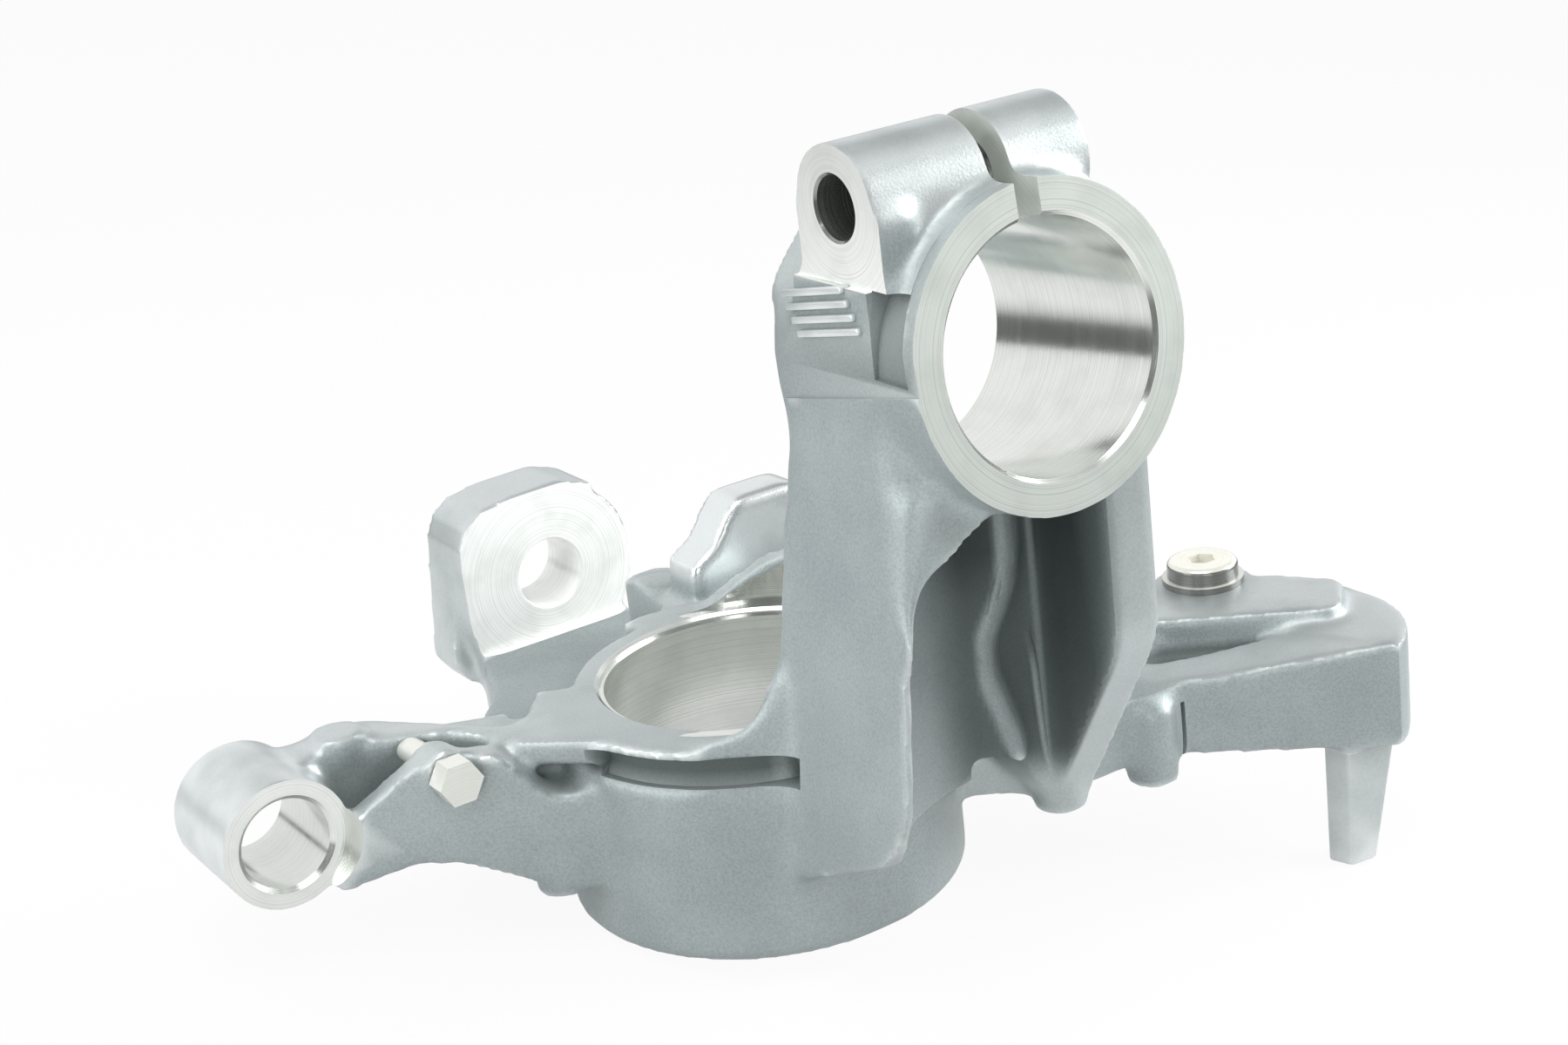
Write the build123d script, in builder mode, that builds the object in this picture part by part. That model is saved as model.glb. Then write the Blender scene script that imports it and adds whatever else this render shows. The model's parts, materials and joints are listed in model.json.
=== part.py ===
from build123d import *
import os
from math import atan, cos, degrees, radians, sin, tan

# Front steering knuckle of a strut suspension: one casting with a screw, a washer and a hex bolt.
# Millimetres. Origin: bearing axis at the housing's outboard face. +Z points inboard
# along the bearing axis, -Y points up the car and +X towards the brake caliper side.

# --- Bearing housing, on the Z axis ---
housing_radius = 45.0
housing_height = 50.0
housing_edge_chamfer = 1.5
bearing_radius = 36.0
bearing_depth = 45.5
lip_radius = 32.0
shaft_relief_radius = 37.0
shaft_relief_height = 75.0
neck_groove_bottom = 40.5
neck_groove_top = 47.5
neck_groove_depth = 2.6
neck_groove_start_angle = -116.0
neck_groove_sweep = 62.0

# --- Strut clamp: a split ring whose axis leans inboard going up the car ---
clamp_face_x = 22.9
clamp_face_y = -90.7
clamp_face_z = 134.6
clamp_tilt = 6.4
clamp_length = 51.6
clamp_radius = 32.4
strut_bore_radius = 25.0
strut_relief_radius = 28.0
strut_relief_length = 8.0
slot_width = 5.5
slot_offset_x = -0.6

# --- Pinch boss across the slot, parallel to X ---
pinch_radius = 12.3
pinch_rise = 33.3
pinch_face_inset = 2.0
pinch_length = 51.5
pinch_hole_radius = 6.3
pinch_flat_width_y = 28.0
pinch_flat_bottom_z = 150.0

# --- Column between housing and clamp: a channel open to -Y ---
wall_draft_slope = 0.095
wall_draft_top_z = 120.0
left_wall_thickness = 6.5
left_wall_front_y = -85.5
left_wall_back_y = -40.0
left_wall_foot_z = 16.5
left_wall_foot_slope = 0.455
left_wall_corner_radius = 22.0
left_wall_bend_z = 92.0
left_wall_bend_radius = 20.0
left_wall_top_inset = 7.0
wall_overlap = 2.0
right_wall_thickness = 12.0
right_wall_front_y = -78.0
right_wall_knee_z = 62.0
right_wall_foot_y = -50.0
right_wall_foot_z = 16.0
web_front_y = -52.0
web_back_y = -38.5
web_foot_z = 30.0
web_arch_z = 36.0
web_arch_radius = 15.0
web_top_z = 112.0
web_rib_width = 3.4
web_rib_height = 2.2
scoop_radius = 42.0
scoop_end_x = 22.0
scoop_top_z = 108.0
throat_start_z = 88.0
throat_end_x = 8.0
throat_end_z = 105.5
throat_radius = 19.0
throat_toe = 1.5
nub_radius = 6.2
nub_x = 48.0
nub_y = -48.0
nub_bottom_z = 14.0
gusset_top_z = 79.0
gusset_top_x = -13.5
gusset_foot_x = -32.5
gusset_sweep_radius = 30.0
gusset_inner_radius = 41.5
gusset_depth = 22.5

# --- Caliper arm, to the right ---
arm_near_start = (92.0, -41.0)
arm_near_end = (135.0, -65.0)
arm_end_radius = 13.0
arm_blank_height = 100.0
arm_root_bottom_z = 17.0
arm_bottom_start_z = 8.3
arm_bottom_end_z = 2.6
arm_top_start_z = 26.7
arm_top_end_z = 29.3
pad_top_z = 32.5
pad_root_depth = 4.0
pad_corner_radius = 5.0
groove_depth = 4.0
groove_cut_height = 20.0
pillar_radius = 5.6
pillar_x = 83.5
pillar_y = -36.5
pillar_bottom_z = 4.5
pillar_fillet = 1.5
leg_x = 125.0
leg_y = -59.0
leg_top_width = 13.5
leg_tip_width = 6.5
leg_depth = 11.5
leg_tip_depth = 9.5
leg_tip_z = -26.0
leg_tip_chamfer = 1.2
leg_root_height = 10.0

# --- Screw and washer on the caliper arm ---
screw_x = 127.7
screw_y = -8.3
screw_boss_radius = 12.5
screw_head_radius = 8.7
screw_head_height = 4.2
screw_shank_radius = 4.0
screw_shank_length = 18.0
screw_recess_radius = 3.4
screw_recess_depth = 2.2
screw_head_fillet = 1.4
washer_radius = 10.0
washer_thickness = 1.6
fastener_clearance = 0.1

# --- Steering arm, to the left ---
tie_rod_x = -105.0
tie_rod_y = 19.0
tie_rod_z = 38.0
tie_rod_radius = 14.5
tie_rod_length = 28.0
tie_rod_bore_radius = 10.0
boss_edge_chamfer = 1.0
steering_flange_thickness = 6.0
steering_core_bottom_z = 24.0
rib_thickness = 8.0
rib_root = (-54.0, -3.0)
rib_tip_inset_x = 13.0
rib_tip_inset_y = 4.0
round_pad_radius = 6.0
round_pad_root = 6.0
steering_pads = [(-84.0, 35.0, 52.0)]
under_pad_x = -51.0
under_pad_y = 2.0
under_pad_z = 13.5

# --- Hex bolt in the steering arm, its head towards -Y ---
bolt_x = -71.5
bolt_z = 46.3
bolt_seat_y = 6.0
bolt_boss_radius = 5.6
bolt_boss_length = 10.0
spot_face_margin = 0.3
bolt_head_across_flats = 9.0
bolt_head_height = 5.5
bolt_shank_radius = 3.0
bolt_shank_length = 20.0

# --- Lower ball joint boss, behind the housing ---
ball_joint_x = 1.7
ball_joint_y = 93.5
ball_joint_z = 47.0
ball_joint_width = 46.5
ball_joint_height = 40.0
ball_joint_corner_radius = 17.0
ball_joint_length = 19.5
ball_joint_bore_radius = 9.0
ball_neck_top_z = 31.0
ball_neck_bottom_z = 12.0
ball_neck_rib_top_z = 46.0
ball_neck_pads = [(17.5, 67.5, 47.5)]

# --- Lug behind the shaft opening ---
lug_top_z = 70.0
lug_near_y = 45.0
lug_depth = 13.0
rim_wall_thickness = 4.0
rim_wall_root = 5.0
rim_wall_height = 20.0
rim_relief_start_angle = 98.0
rim_relief_sweep = 50.0
rim_relief_bottom_z = 36.0
rim_relief_radius = 39.0

# Worked out from the driving dimensions.
draft_angle = degrees(atan(wall_draft_slope))
clamp_left_x = clamp_face_x - clamp_radius
wall_x_at_origin = clamp_left_x - wall_draft_slope * wall_draft_top_z
clamp_plane = Plane(
    origin=(clamp_face_x, clamp_face_y, clamp_face_z),
    x_dir=(1, 0, 0),
    z_dir=(0, -cos(radians(clamp_tilt)), sin(radians(clamp_tilt))),
)
clamp_far_y = clamp_face_y + clamp_length * cos(radians(clamp_tilt))
pinch_y = (clamp_face_y + clamp_far_y) / 2 - 2.3
pinch_z = clamp_face_z - (pinch_y - clamp_face_y) * tan(radians(clamp_tilt)) + pinch_rise
pinch_face_x = clamp_left_x + pinch_face_inset
right_wall_x = clamp_face_x + clamp_radius


def rounded_face(*corners):
    """Fill a closed outline given as (x, y, corner radius) in the open sketch."""
    with BuildLine() as outline:
        FilletPolyline(*[(x, y) for x, y, _ in corners], radius=[r for _, _, r in corners], close=True)
    make_face(outline.line.edges())


with BuildPart() as housing:
    Cylinder(housing_radius, housing_height, align=(Align.CENTER, Align.CENTER, Align.MIN))
    chamfer(housing.edges().sort_by(Axis.Z)[0], housing_edge_chamfer)
    with BuildSketch(Plane.XZ.rotated((0, 0, neck_groove_start_angle))):
        with Locations((housing_radius, (neck_groove_bottom + neck_groove_top) / 2)):
            Rectangle(2 * neck_groove_depth, neck_groove_top - neck_groove_bottom)
    revolve(axis=Axis.Z, revolution_arc=-neck_groove_sweep, mode=Mode.SUBTRACT)

with BuildPart() as gusset:
    # Concave sweep from the housing's rim up to the column's left wall.
    with BuildSketch(Plane.XZ.offset(housing_radius + 1)):
        with BuildLine():
            RadiusArc((gusset_foot_x, housing_height), (gusset_top_x, gusset_top_z), -gusset_sweep_radius)
            Polyline(
                (gusset_top_x, gusset_top_z),
                (0, gusset_top_z),
                (0, neck_groove_top),
                (gusset_foot_x, neck_groove_top),
                (gusset_foot_x, housing_height),
            )
        make_face()
    extrude(amount=-gusset_depth)
    with BuildSketch(Plane.XY.offset(neck_groove_top)):
        Circle(housing_radius)
        Circle(gusset_inner_radius, mode=Mode.SUBTRACT)
    extrude(amount=gusset_top_z - neck_groove_top, mode=Mode.INTERSECT)

# The left wall leans outward towards the outboard side: its outline runs in Y and up the lean.
lean = radians(draft_angle)
draft_plane = Plane(origin=(wall_x_at_origin, 0, 0), x_dir=(0, 1, 0), z_dir=(cos(lean), 0, -sin(lean)))
foot_y = left_wall_back_y + 3
corner_z = left_wall_foot_z + (foot_y - left_wall_front_y) * left_wall_foot_slope
left_wall_outline = (
    (foot_y, left_wall_foot_z, 0),
    (left_wall_front_y, corner_z, left_wall_corner_radius),
    (left_wall_front_y, left_wall_bend_z, left_wall_bend_radius),
    (left_wall_front_y + left_wall_top_inset, wall_draft_top_z + wall_overlap, 0),
    (left_wall_back_y - 4, wall_draft_top_z + wall_overlap, 0),
    (left_wall_back_y, 80, 30),
    (left_wall_back_y, 60, 10),
)

with BuildPart() as left_wall:
    with BuildSketch(draft_plane):
        rounded_face(*left_wall_outline)
    extrude(amount=left_wall_thickness)

clamp_flat_outline = (
    (left_wall_front_y + left_wall_top_inset, wall_draft_top_z - wall_overlap, 0),
    (left_wall_front_y + 11, pinch_flat_bottom_z - 10, 8),
    (left_wall_front_y + 4, pinch_flat_bottom_z + 4, 2),
    (pinch_y + pinch_radius + 2, pinch_flat_bottom_z + 2, 2),
    (left_wall_back_y - 4, wall_draft_top_z - wall_overlap, 0),
)

with BuildPart() as clamp_flat:
    # Above the draft the wall stands upright, tangent to the clamp, and ends under the pinch boss.
    with BuildSketch(Plane.YZ.offset(clamp_left_x)):
        rounded_face(*clamp_flat_outline)
    extrude(amount=left_wall_thickness)

right_wall_outline = (
    (right_wall_foot_y, right_wall_foot_z, 4),
    (right_wall_front_y, right_wall_knee_z, 25),
    (right_wall_front_y, clamp_face_z, 0),
    (web_back_y - 4, clamp_face_z, 0),
    (web_back_y, 100, 20),
    (web_back_y, 40, 0),
    (web_back_y + 4, right_wall_foot_z, 0),
)

with BuildPart() as right_wall:
    with BuildSketch(Plane.YZ.offset(right_wall_x - right_wall_thickness)):
        rounded_face(*right_wall_outline)
    extrude(amount=right_wall_thickness)

with BuildPart() as wall_nub:
    # Rounded foot of the right wall.
    with BuildSketch(Plane.XY.offset(nub_bottom_z)):
        with Locations((nub_x, nub_y)):
            Circle(nub_radius)
    extrude(amount=arm_top_start_z)
    fillet(wall_nub.faces().sort_by(Axis.Z)[0].edges(), nub_radius / 3)

web_outline = (
    (wall_x_at_origin + wall_draft_slope * web_foot_z, web_foot_z, 0),
    (12, web_foot_z, 6),
    (24, web_arch_z, web_arch_radius),
    (36, web_foot_z + 1, 5),
    (41, right_wall_foot_z + 5, 0),
    (right_wall_x - wall_overlap, right_wall_foot_z + 5, 0),
    (right_wall_x - wall_overlap, web_top_z, 0),
    (clamp_left_x + wall_overlap, web_top_z, 0),
    (clamp_left_x + wall_overlap, 105, 0),
)

with BuildPart() as web:
    with BuildSketch(Plane.XZ.offset(-web_back_y)):
        rounded_face(*web_outline)
    extrude(amount=web_back_y - web_front_y)
    # Wavy casting rib up the front of the web.
    with BuildSketch(Plane.XZ.offset(-web_front_y)):
        with BuildLine():
            Spline((34, 32), (29.5, 49), (27.8, 62), (33.5, 71), (35.3, 80), (36, 106))
        trace(line_width=web_rib_width)
    extrude(amount=web_rib_height)

with BuildPart() as scoop:
    # Concave fill between the left wall and the web, following the wall's lean.
    scoop_left_x = wall_x_at_origin + wall_draft_slope * web_foot_z + 2
    with BuildSketch(Plane.XY.offset(web_foot_z)):
        with BuildLine():
            RadiusArc((scoop_left_x, left_wall_front_y), (scoop_end_x, web_front_y), scoop_radius)
            Polyline(
                (scoop_end_x, web_front_y),
                (scoop_end_x, web_back_y - 2),
                (scoop_left_x, web_back_y - 2),
                (scoop_left_x, left_wall_front_y),
            )
        make_face()
    extrude(amount=scoop_top_z - web_foot_z, dir=(wall_draft_slope, 0, 1))
    # Kept behind the wall's front edge.
    with BuildSketch(draft_plane):
        rounded_face(*left_wall_outline)
    extrude(amount=clamp_radius * 2, mode=Mode.INTERSECT)

with BuildPart() as throat:
    # Concave corner between the left wall and the underside of the clamp.
    throat_left_x = wall_x_at_origin + wall_draft_slope * throat_start_z + 0.5
    with BuildSketch(Plane.XZ.offset(-web_front_y)):
        with BuildLine():
            ThreePointArc(
                (throat_left_x + throat_toe, throat_start_z),
                (throat_left_x + throat_radius * 0.35, throat_start_z + throat_radius * 0.65),
                (throat_end_x, throat_end_z),
            )
            Polyline(
                (throat_end_x, throat_end_z),
                (throat_end_x, wall_draft_top_z),
                (clamp_left_x + 1, wall_draft_top_z),
                (throat_left_x, throat_start_z),
                (throat_left_x + throat_toe, throat_start_z),
            )
        make_face()
    extrude(amount=web_front_y - left_wall_front_y)
    with BuildSketch(draft_plane):
        rounded_face(*left_wall_outline)
    extrude(amount=clamp_radius * 2, mode=Mode.INTERSECT)

pinch_flat_outline = (
    (pinch_y - pinch_radius, pinch_z, 0),
    (pinch_y - pinch_flat_width_y / 2 - 1, pinch_flat_bottom_z, 0),
    (pinch_y + pinch_flat_width_y / 2 - 1, pinch_flat_bottom_z - 2, 0),
    (pinch_y + pinch_radius, pinch_z, 0),
)

with BuildPart() as clamp:
    with BuildSketch(clamp_plane):
        Circle(clamp_radius)
    extrude(amount=-clamp_length)
    # Pinch boss: a bar across the top with a milled flat under its left end.
    with BuildSketch(Plane.YZ.offset(pinch_face_x)):
        with Locations((pinch_y, pinch_z)):
            Circle(pinch_radius)
    extrude(amount=pinch_length)
    with BuildSketch(Plane.YZ.offset(pinch_face_x)):
        rounded_face(*pinch_flat_outline)
    extrude(amount=left_wall_thickness + 3)

arm_plan_outline = (
    (30, -33, 0),
    (46, -42, 0),
    (72, -38, 8),
    (*arm_near_start, 2),
    (*arm_near_end, 6),
    (142, -64, arm_end_radius - 3),
    (155.5, -31, arm_end_radius - 3),
    (146, -18, 8),
    (140, 1, 8),
    (112, 8, 12),
    (60, 26, 20),
    (25, 33, 0),
)
arm_pad_outline = (
    (92, -10, 6),
    (104, -20, 3),
    (137, -46, pad_corner_radius),
    (151, -33, pad_corner_radius),
    (142, -18, 8),
    (122, 2, 6),
)

with BuildPart() as caliper_arm:
    # The plan outline meets a side outline that deepens towards the arm's end.
    arm_direction = Vector(*arm_near_end) - Vector(*arm_near_start)
    arm_span = arm_direction.length
    arm_side_normal = arm_direction.cross(Vector(0, 0, 1))
    arm_side_plane = Plane(origin=(*arm_near_start, 0), x_dir=arm_direction, z_dir=arm_side_normal)
    with BuildSketch(Plane.XY.offset(leg_tip_z)):
        rounded_face(*arm_plan_outline)
    extrude(amount=arm_blank_height)
    with BuildSketch(arm_side_plane):
        with BuildLine():
            Polyline(
                (-80, arm_root_bottom_z),
                (-45, arm_root_bottom_z - 1),
                (-25, arm_bottom_start_z + 2),
                (0, arm_bottom_start_z),
                (arm_span, arm_bottom_end_z),
                (arm_span + 30, arm_bottom_end_z),
                (arm_span + 30, arm_top_end_z + 1.5),
                (arm_span, arm_top_end_z),
                (0, arm_top_start_z),
                (-80, arm_top_start_z),
                close=True,
            )
        make_face()
    extrude(amount=arm_blank_height, both=True, mode=Mode.INTERSECT)
    # Raised pad that carries the screw.
    with BuildSketch(Plane.XY.offset(arm_top_start_z - pad_root_depth)):
        rounded_face(*arm_pad_outline)
        with Locations((screw_x, screw_y)):
            Circle(screw_boss_radius)
    extrude(amount=pad_top_z - arm_top_start_z + pad_root_depth)
    # Tapered groove along the pad's near edge.
    with BuildSketch(Plane.XY.offset(arm_top_start_z - groove_depth)):
        with BuildLine():
            Polyline((92, -20), (96, -27.5), (138, -47), (104, -20.2), close=True)
        make_face()
    extrude(amount=groove_cut_height, mode=Mode.SUBTRACT)

with BuildPart() as arm_leg:
    with BuildSketch(Plane.XY.offset(leg_tip_z)):
        with Locations((leg_x, leg_y)):
            Rectangle(leg_tip_width, leg_tip_depth, align=(Align.MIN, Align.MIN))
    with BuildSketch(Plane.XY.offset(arm_bottom_start_z)):
        with Locations((leg_x, leg_y)):
            Rectangle(leg_top_width, leg_depth, align=(Align.MIN, Align.MIN))
    loft()
    chamfer(arm_leg.faces().sort_by(Axis.Z)[0].edges(), leg_tip_chamfer)
    # Straight root inside the arm.
    with BuildSketch(Plane.XY.offset(arm_bottom_start_z)):
        with Locations((leg_x, leg_y)):
            Rectangle(leg_top_width, leg_depth, align=(Align.MIN, Align.MIN))
    extrude(amount=leg_root_height)

with BuildPart() as arm_pillar:
    with BuildSketch(Plane.XY.offset(pillar_bottom_z)):
        with Locations((pillar_x, pillar_y)):
            Circle(pillar_radius)
    extrude(amount=arm_top_start_z - pillar_bottom_z - 2)
    fillet(arm_pillar.faces().sort_by(Axis.Z)[0].edges(), pillar_fillet)

steering_flange_outline = (
    (-20, -24, 0),
    (-44, -10, 6),
    (-56, 2, 8),
    (-63, 19, 10),
    (-82, 30, 8),
    (tie_rod_x + boss_edge_chamfer, 29, 0),
    (tie_rod_x + boss_edge_chamfer, 42, 0),
    (-76, 43, 8),
    (-63, 26, 8),
    (-54, 13, 4),
    (-48, 15, 2),
    (-38, 27, 2),
    (-20, 27, 0),
)
steering_core_outline = (
    (-20, -15, 0),
    (-52, 8, 6),
    (-62, 26, 10),
    (tie_rod_x + boss_edge_chamfer, 33, 0),
    (tie_rod_x + boss_edge_chamfer, 42, 0),
    (-66, 42, 10),
    (-40, 30, 0),
)

with BuildPart() as steering_arm:
    # Top flange, flush with the housing's machined rim.
    with BuildSketch(Plane.XY.offset(housing_height - steering_flange_thickness)):
        rounded_face(*steering_flange_outline)
    extrude(amount=steering_flange_thickness)
    # Core under the flange, set back from its edge.
    with BuildSketch(Plane.XY.offset(steering_core_bottom_z)):
        rounded_face(*steering_core_outline)
    extrude(amount=housing_height - steering_flange_thickness - steering_core_bottom_z)

rib_tip = (tie_rod_x + rib_tip_inset_x, tie_rod_y - rib_tip_inset_y)
rib_direction = Vector(*rib_tip) - Vector(*rib_root)
rib_span = rib_direction.length
rib_plane = Plane(origin=(*rib_root, 0), x_dir=rib_direction, z_dir=rib_direction.cross(Vector(0, 0, 1)))
steering_rib_outline = (
    (-22, 12, 0),
    (1, 16, 6),
    (20, 25.5, 14),
    (30, 27, 14),
    (rib_span + 5, 23, 0),
    (rib_span + 5, 36, 0),
    (27, 50, 3),
    (9, 49.5, 4),
    (-1, 38, 6),
    (-22, 37, 0),
)

with BuildPart() as steering_rib:
    # Rib along the arm's near side; its upper edge peaks at the bolt.
    with BuildSketch(rib_plane):
        rounded_face(*steering_rib_outline)
    extrude(amount=rib_thickness)

with BuildPart() as tie_rod_boss:
    with BuildSketch(Plane.XZ.offset(-tie_rod_y)):
        with Locations((tie_rod_x, tie_rod_z)):
            Circle(tie_rod_radius)
    extrude(amount=-tie_rod_length)
    chamfer(tie_rod_boss.edges().filter_by(GeomType.CIRCLE), boss_edge_chamfer)

with BuildPart() as bolt_boss:
    with BuildSketch(Plane.XZ.offset(-bolt_seat_y)):
        with Locations((bolt_x, bolt_z)):
            Circle(bolt_boss_radius)
    extrude(amount=-bolt_boss_length)

with BuildPart() as round_pads:
    # Small cast pads for clamping the blank while it is machined.
    for x, y, z in steering_pads + ball_neck_pads:
        with BuildSketch(Plane.XY.offset(z - round_pad_root)):
            with Locations((x, y)):
                Circle(round_pad_radius)
        extrude(amount=round_pad_root)
    with BuildSketch(Plane.XY.offset(under_pad_z)):
        with Locations((under_pad_x, under_pad_y)):
            Circle(round_pad_radius)
    extrude(amount=round_pad_root)

with BuildPart() as ball_joint_boss:
    with BuildSketch(Plane.XZ.offset(-ball_joint_y)):
        with Locations((ball_joint_x, ball_joint_z)):
            RectangleRounded(ball_joint_width, ball_joint_height, ball_joint_corner_radius)
    extrude(amount=-ball_joint_length)
    chamfer(ball_joint_boss.faces().sort_by(Axis.Y)[0].edges(), boss_edge_chamfer)
    chamfer(ball_joint_boss.faces().sort_by(Axis.Y)[-1].edges(), boss_edge_chamfer)

ball_neck_outline = (
    (-30, 0, 0),
    (-60, 24, 6),
    (-53, 45, 14),
    (-29, 72, 20),
    (-19, ball_joint_y + 6, 0),
    (22, ball_joint_y + 6, 0),
    (28, 70, 20),
    (42, 10, 0),
)
ball_neck_rib_outline = (
    (-2, 34, 0),
    (11, 56, 10),
    (12, 78, 6),
    (24, 80, 6),
    (30, 66, 12),
    (42, 20, 0),
)

with BuildPart() as ball_neck:
    # Low web from the housing and steering arm out to the ball joint boss.
    with BuildSketch(Plane.XY.offset(ball_neck_bottom_z)):
        rounded_face(*ball_neck_outline)
    extrude(amount=ball_neck_top_z - ball_neck_bottom_z)
    # Taller rib along the web's right side.
    with BuildSketch(Plane.XY.offset(ball_neck_bottom_z)):
        rounded_face(*ball_neck_rib_outline)
    extrude(amount=ball_neck_rib_top_z - ball_neck_bottom_z)

rear_lug_outline = (
    (15, 35, 0),
    (15, 56, 4),
    (22, 60, 3),
    (29, lug_top_z, 7),
    (50, lug_top_z, 10),
    (57, 52, 6),
    (57, 35, 0),
)

with BuildPart() as rear_lug:
    # Lug beside the shaft opening.
    with BuildSketch(Plane.XZ.offset(-lug_near_y)):
        rounded_face(*rear_lug_outline)
    extrude(amount=-lug_depth)

with BuildPart() as rim_wall:
    # Thin wall around the shaft opening, rising towards the lug.
    with BuildSketch(Plane.XY.offset(housing_height - rim_wall_root)):
        Circle(shaft_relief_radius + rim_wall_thickness)
        Circle(shaft_relief_radius - rim_wall_thickness / 4, mode=Mode.SUBTRACT)
    extrude(amount=rim_wall_height)
    with BuildSketch(Plane.XZ.offset(-8)):
        rounded_face((9, 40, 0), (9, 48, 0), (28, 62, 6), (44, 64, 0), (44, 40, 0))
    extrude(amount=-lug_near_y, mode=Mode.INTERSECT)

with BuildPart() as knuckle_casting:
    add(housing)
    add(gusset)
    add(left_wall)
    add(right_wall)
    add(wall_nub)
    add(web)
    add(scoop)
    add(throat)
    add(clamp_flat)
    add(clamp)
    add(caliper_arm)
    add(arm_leg)
    add(arm_pillar)
    add(steering_arm)
    add(steering_rib)
    add(tie_rod_boss)
    add(bolt_boss)
    add(ball_neck)
    add(ball_joint_boss)
    add(round_pads)
    add(rear_lug)
    add(rim_wall)
    # The rim is cut back beside the shaft opening.
    with BuildSketch(Plane.XZ.rotated((0, 0, rim_relief_start_angle))):
        with Locations((rim_relief_radius, rim_relief_bottom_z)):
            Rectangle(housing_radius / 3, housing_height, align=(Align.MIN, Align.MIN))
    revolve(axis=Axis.Z, revolution_arc=rim_relief_sweep, mode=Mode.SUBTRACT)
    # Spot face that seats the bolt head.
    with BuildSketch(Plane.XZ.offset(-bolt_seat_y)):
        with Locations((bolt_x, bolt_z)):
            Circle(bolt_boss_radius + spot_face_margin)
    extrude(amount=2 * bolt_boss_length, mode=Mode.SUBTRACT)
    # Bearing bore from the outboard face, up to the lip, and the shaft's relief above the rim.
    with BuildSketch(Plane.XY):
        Circle(bearing_radius)
    extrude(amount=bearing_depth, mode=Mode.SUBTRACT)
    with BuildSketch(Plane.XY):
        Circle(lip_radius)
    extrude(amount=housing_height, mode=Mode.SUBTRACT)
    with BuildSketch(Plane.XY.offset(housing_height)):
        Circle(shaft_relief_radius)
    extrude(amount=shaft_relief_height, mode=Mode.SUBTRACT)
    # Strut bore and the slot through the clamp and its pinch boss.
    with BuildSketch(clamp_plane):
        Circle(strut_bore_radius)
    extrude(amount=-clamp_length, mode=Mode.SUBTRACT)
    with BuildSketch(clamp_plane.offset(-clamp_length)):
        Circle(strut_relief_radius)
    extrude(amount=-strut_relief_length, mode=Mode.SUBTRACT)
    with BuildSketch(clamp_plane):
        with Locations((slot_offset_x, 0)):
            Rectangle(slot_width, pinch_rise + 2 * pinch_radius, align=(Align.CENTER, Align.MIN))
    extrude(amount=-clamp_length - strut_relief_length, mode=Mode.SUBTRACT)
    # Pinch bolt hole.
    with BuildSketch(Plane.YZ.offset(pinch_face_x)):
        with Locations((pinch_y, pinch_z)):
            Circle(pinch_hole_radius)
    extrude(amount=pinch_length, mode=Mode.SUBTRACT)
    # Tie rod bore, ball joint bore and the two fastener holes.
    with BuildSketch(Plane.XZ.offset(-tie_rod_y)):
        with Locations((tie_rod_x, tie_rod_z)):
            Circle(tie_rod_bore_radius)
    extrude(amount=-tie_rod_length, mode=Mode.SUBTRACT)
    with BuildSketch(Plane.XZ.offset(-ball_joint_y)):
        with Locations((ball_joint_x, ball_joint_z)):
            Circle(ball_joint_bore_radius)
    extrude(amount=-ball_joint_length, mode=Mode.SUBTRACT)
    with BuildSketch(Plane.XZ.offset(-bolt_seat_y)):
        with Locations((bolt_x, bolt_z)):
            Circle(bolt_shank_radius + fastener_clearance)
    extrude(amount=-bolt_shank_length - fastener_clearance, mode=Mode.SUBTRACT)
    with BuildSketch(Plane.XY.offset(pad_top_z)):
        with Locations((screw_x, screw_y)):
            Circle(screw_shank_radius + fastener_clearance)
    extrude(amount=-pad_top_z, mode=Mode.SUBTRACT)

with BuildPart() as pad_washer:
    with BuildSketch(Plane.XY.offset(pad_top_z)):
        with Locations((screw_x, screw_y)):
            Circle(washer_radius)
            Circle(screw_shank_radius + fastener_clearance, mode=Mode.SUBTRACT)
    extrude(amount=washer_thickness)

with BuildPart() as pad_screw:
    head_seat_z = pad_top_z + washer_thickness
    with BuildSketch(Plane.XY.offset(head_seat_z)):
        with Locations((screw_x, screw_y)):
            Circle(screw_head_radius)
    extrude(amount=screw_head_height)
    fillet(pad_screw.faces().sort_by(Axis.Z)[-1].edges(), screw_head_fillet)
    with BuildSketch(Plane.XY.offset(head_seat_z)):
        with Locations((screw_x, screw_y)):
            Circle(screw_shank_radius)
    extrude(amount=-screw_shank_length)
    with BuildSketch(Plane.XY.offset(head_seat_z + screw_head_height)):
        with Locations((screw_x, screw_y)):
            RegularPolygon(screw_recess_radius, 6)
    extrude(amount=-screw_recess_depth, mode=Mode.SUBTRACT)

with BuildPart() as arm_bolt:
    with BuildSketch(Plane.XZ.offset(-bolt_seat_y)):
        with Locations((bolt_x, bolt_z)):
            RegularPolygon(bolt_head_across_flats / 2, 6, major_radius=False)
    extrude(amount=bolt_head_height)
    with BuildSketch(Plane.XZ.offset(-bolt_seat_y)):
        with Locations((bolt_x, bolt_z)):
            Circle(bolt_shank_radius)
    extrude(amount=-bolt_shank_length)

knuckle_casting.part.label = "knuckle_casting"
pad_washer.part.label = "pad_washer"
pad_screw.part.label = "pad_screw"
arm_bolt.part.label = "arm_bolt"

os.makedirs("parts", exist_ok=True)
export_step(knuckle_casting.part, "parts/knuckle_casting.step")
export_step(pad_washer.part, "parts/pad_washer.step")
export_step(pad_screw.part, "parts/pad_screw.step")
export_step(arm_bolt.part, "parts/arm_bolt.step")
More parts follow.
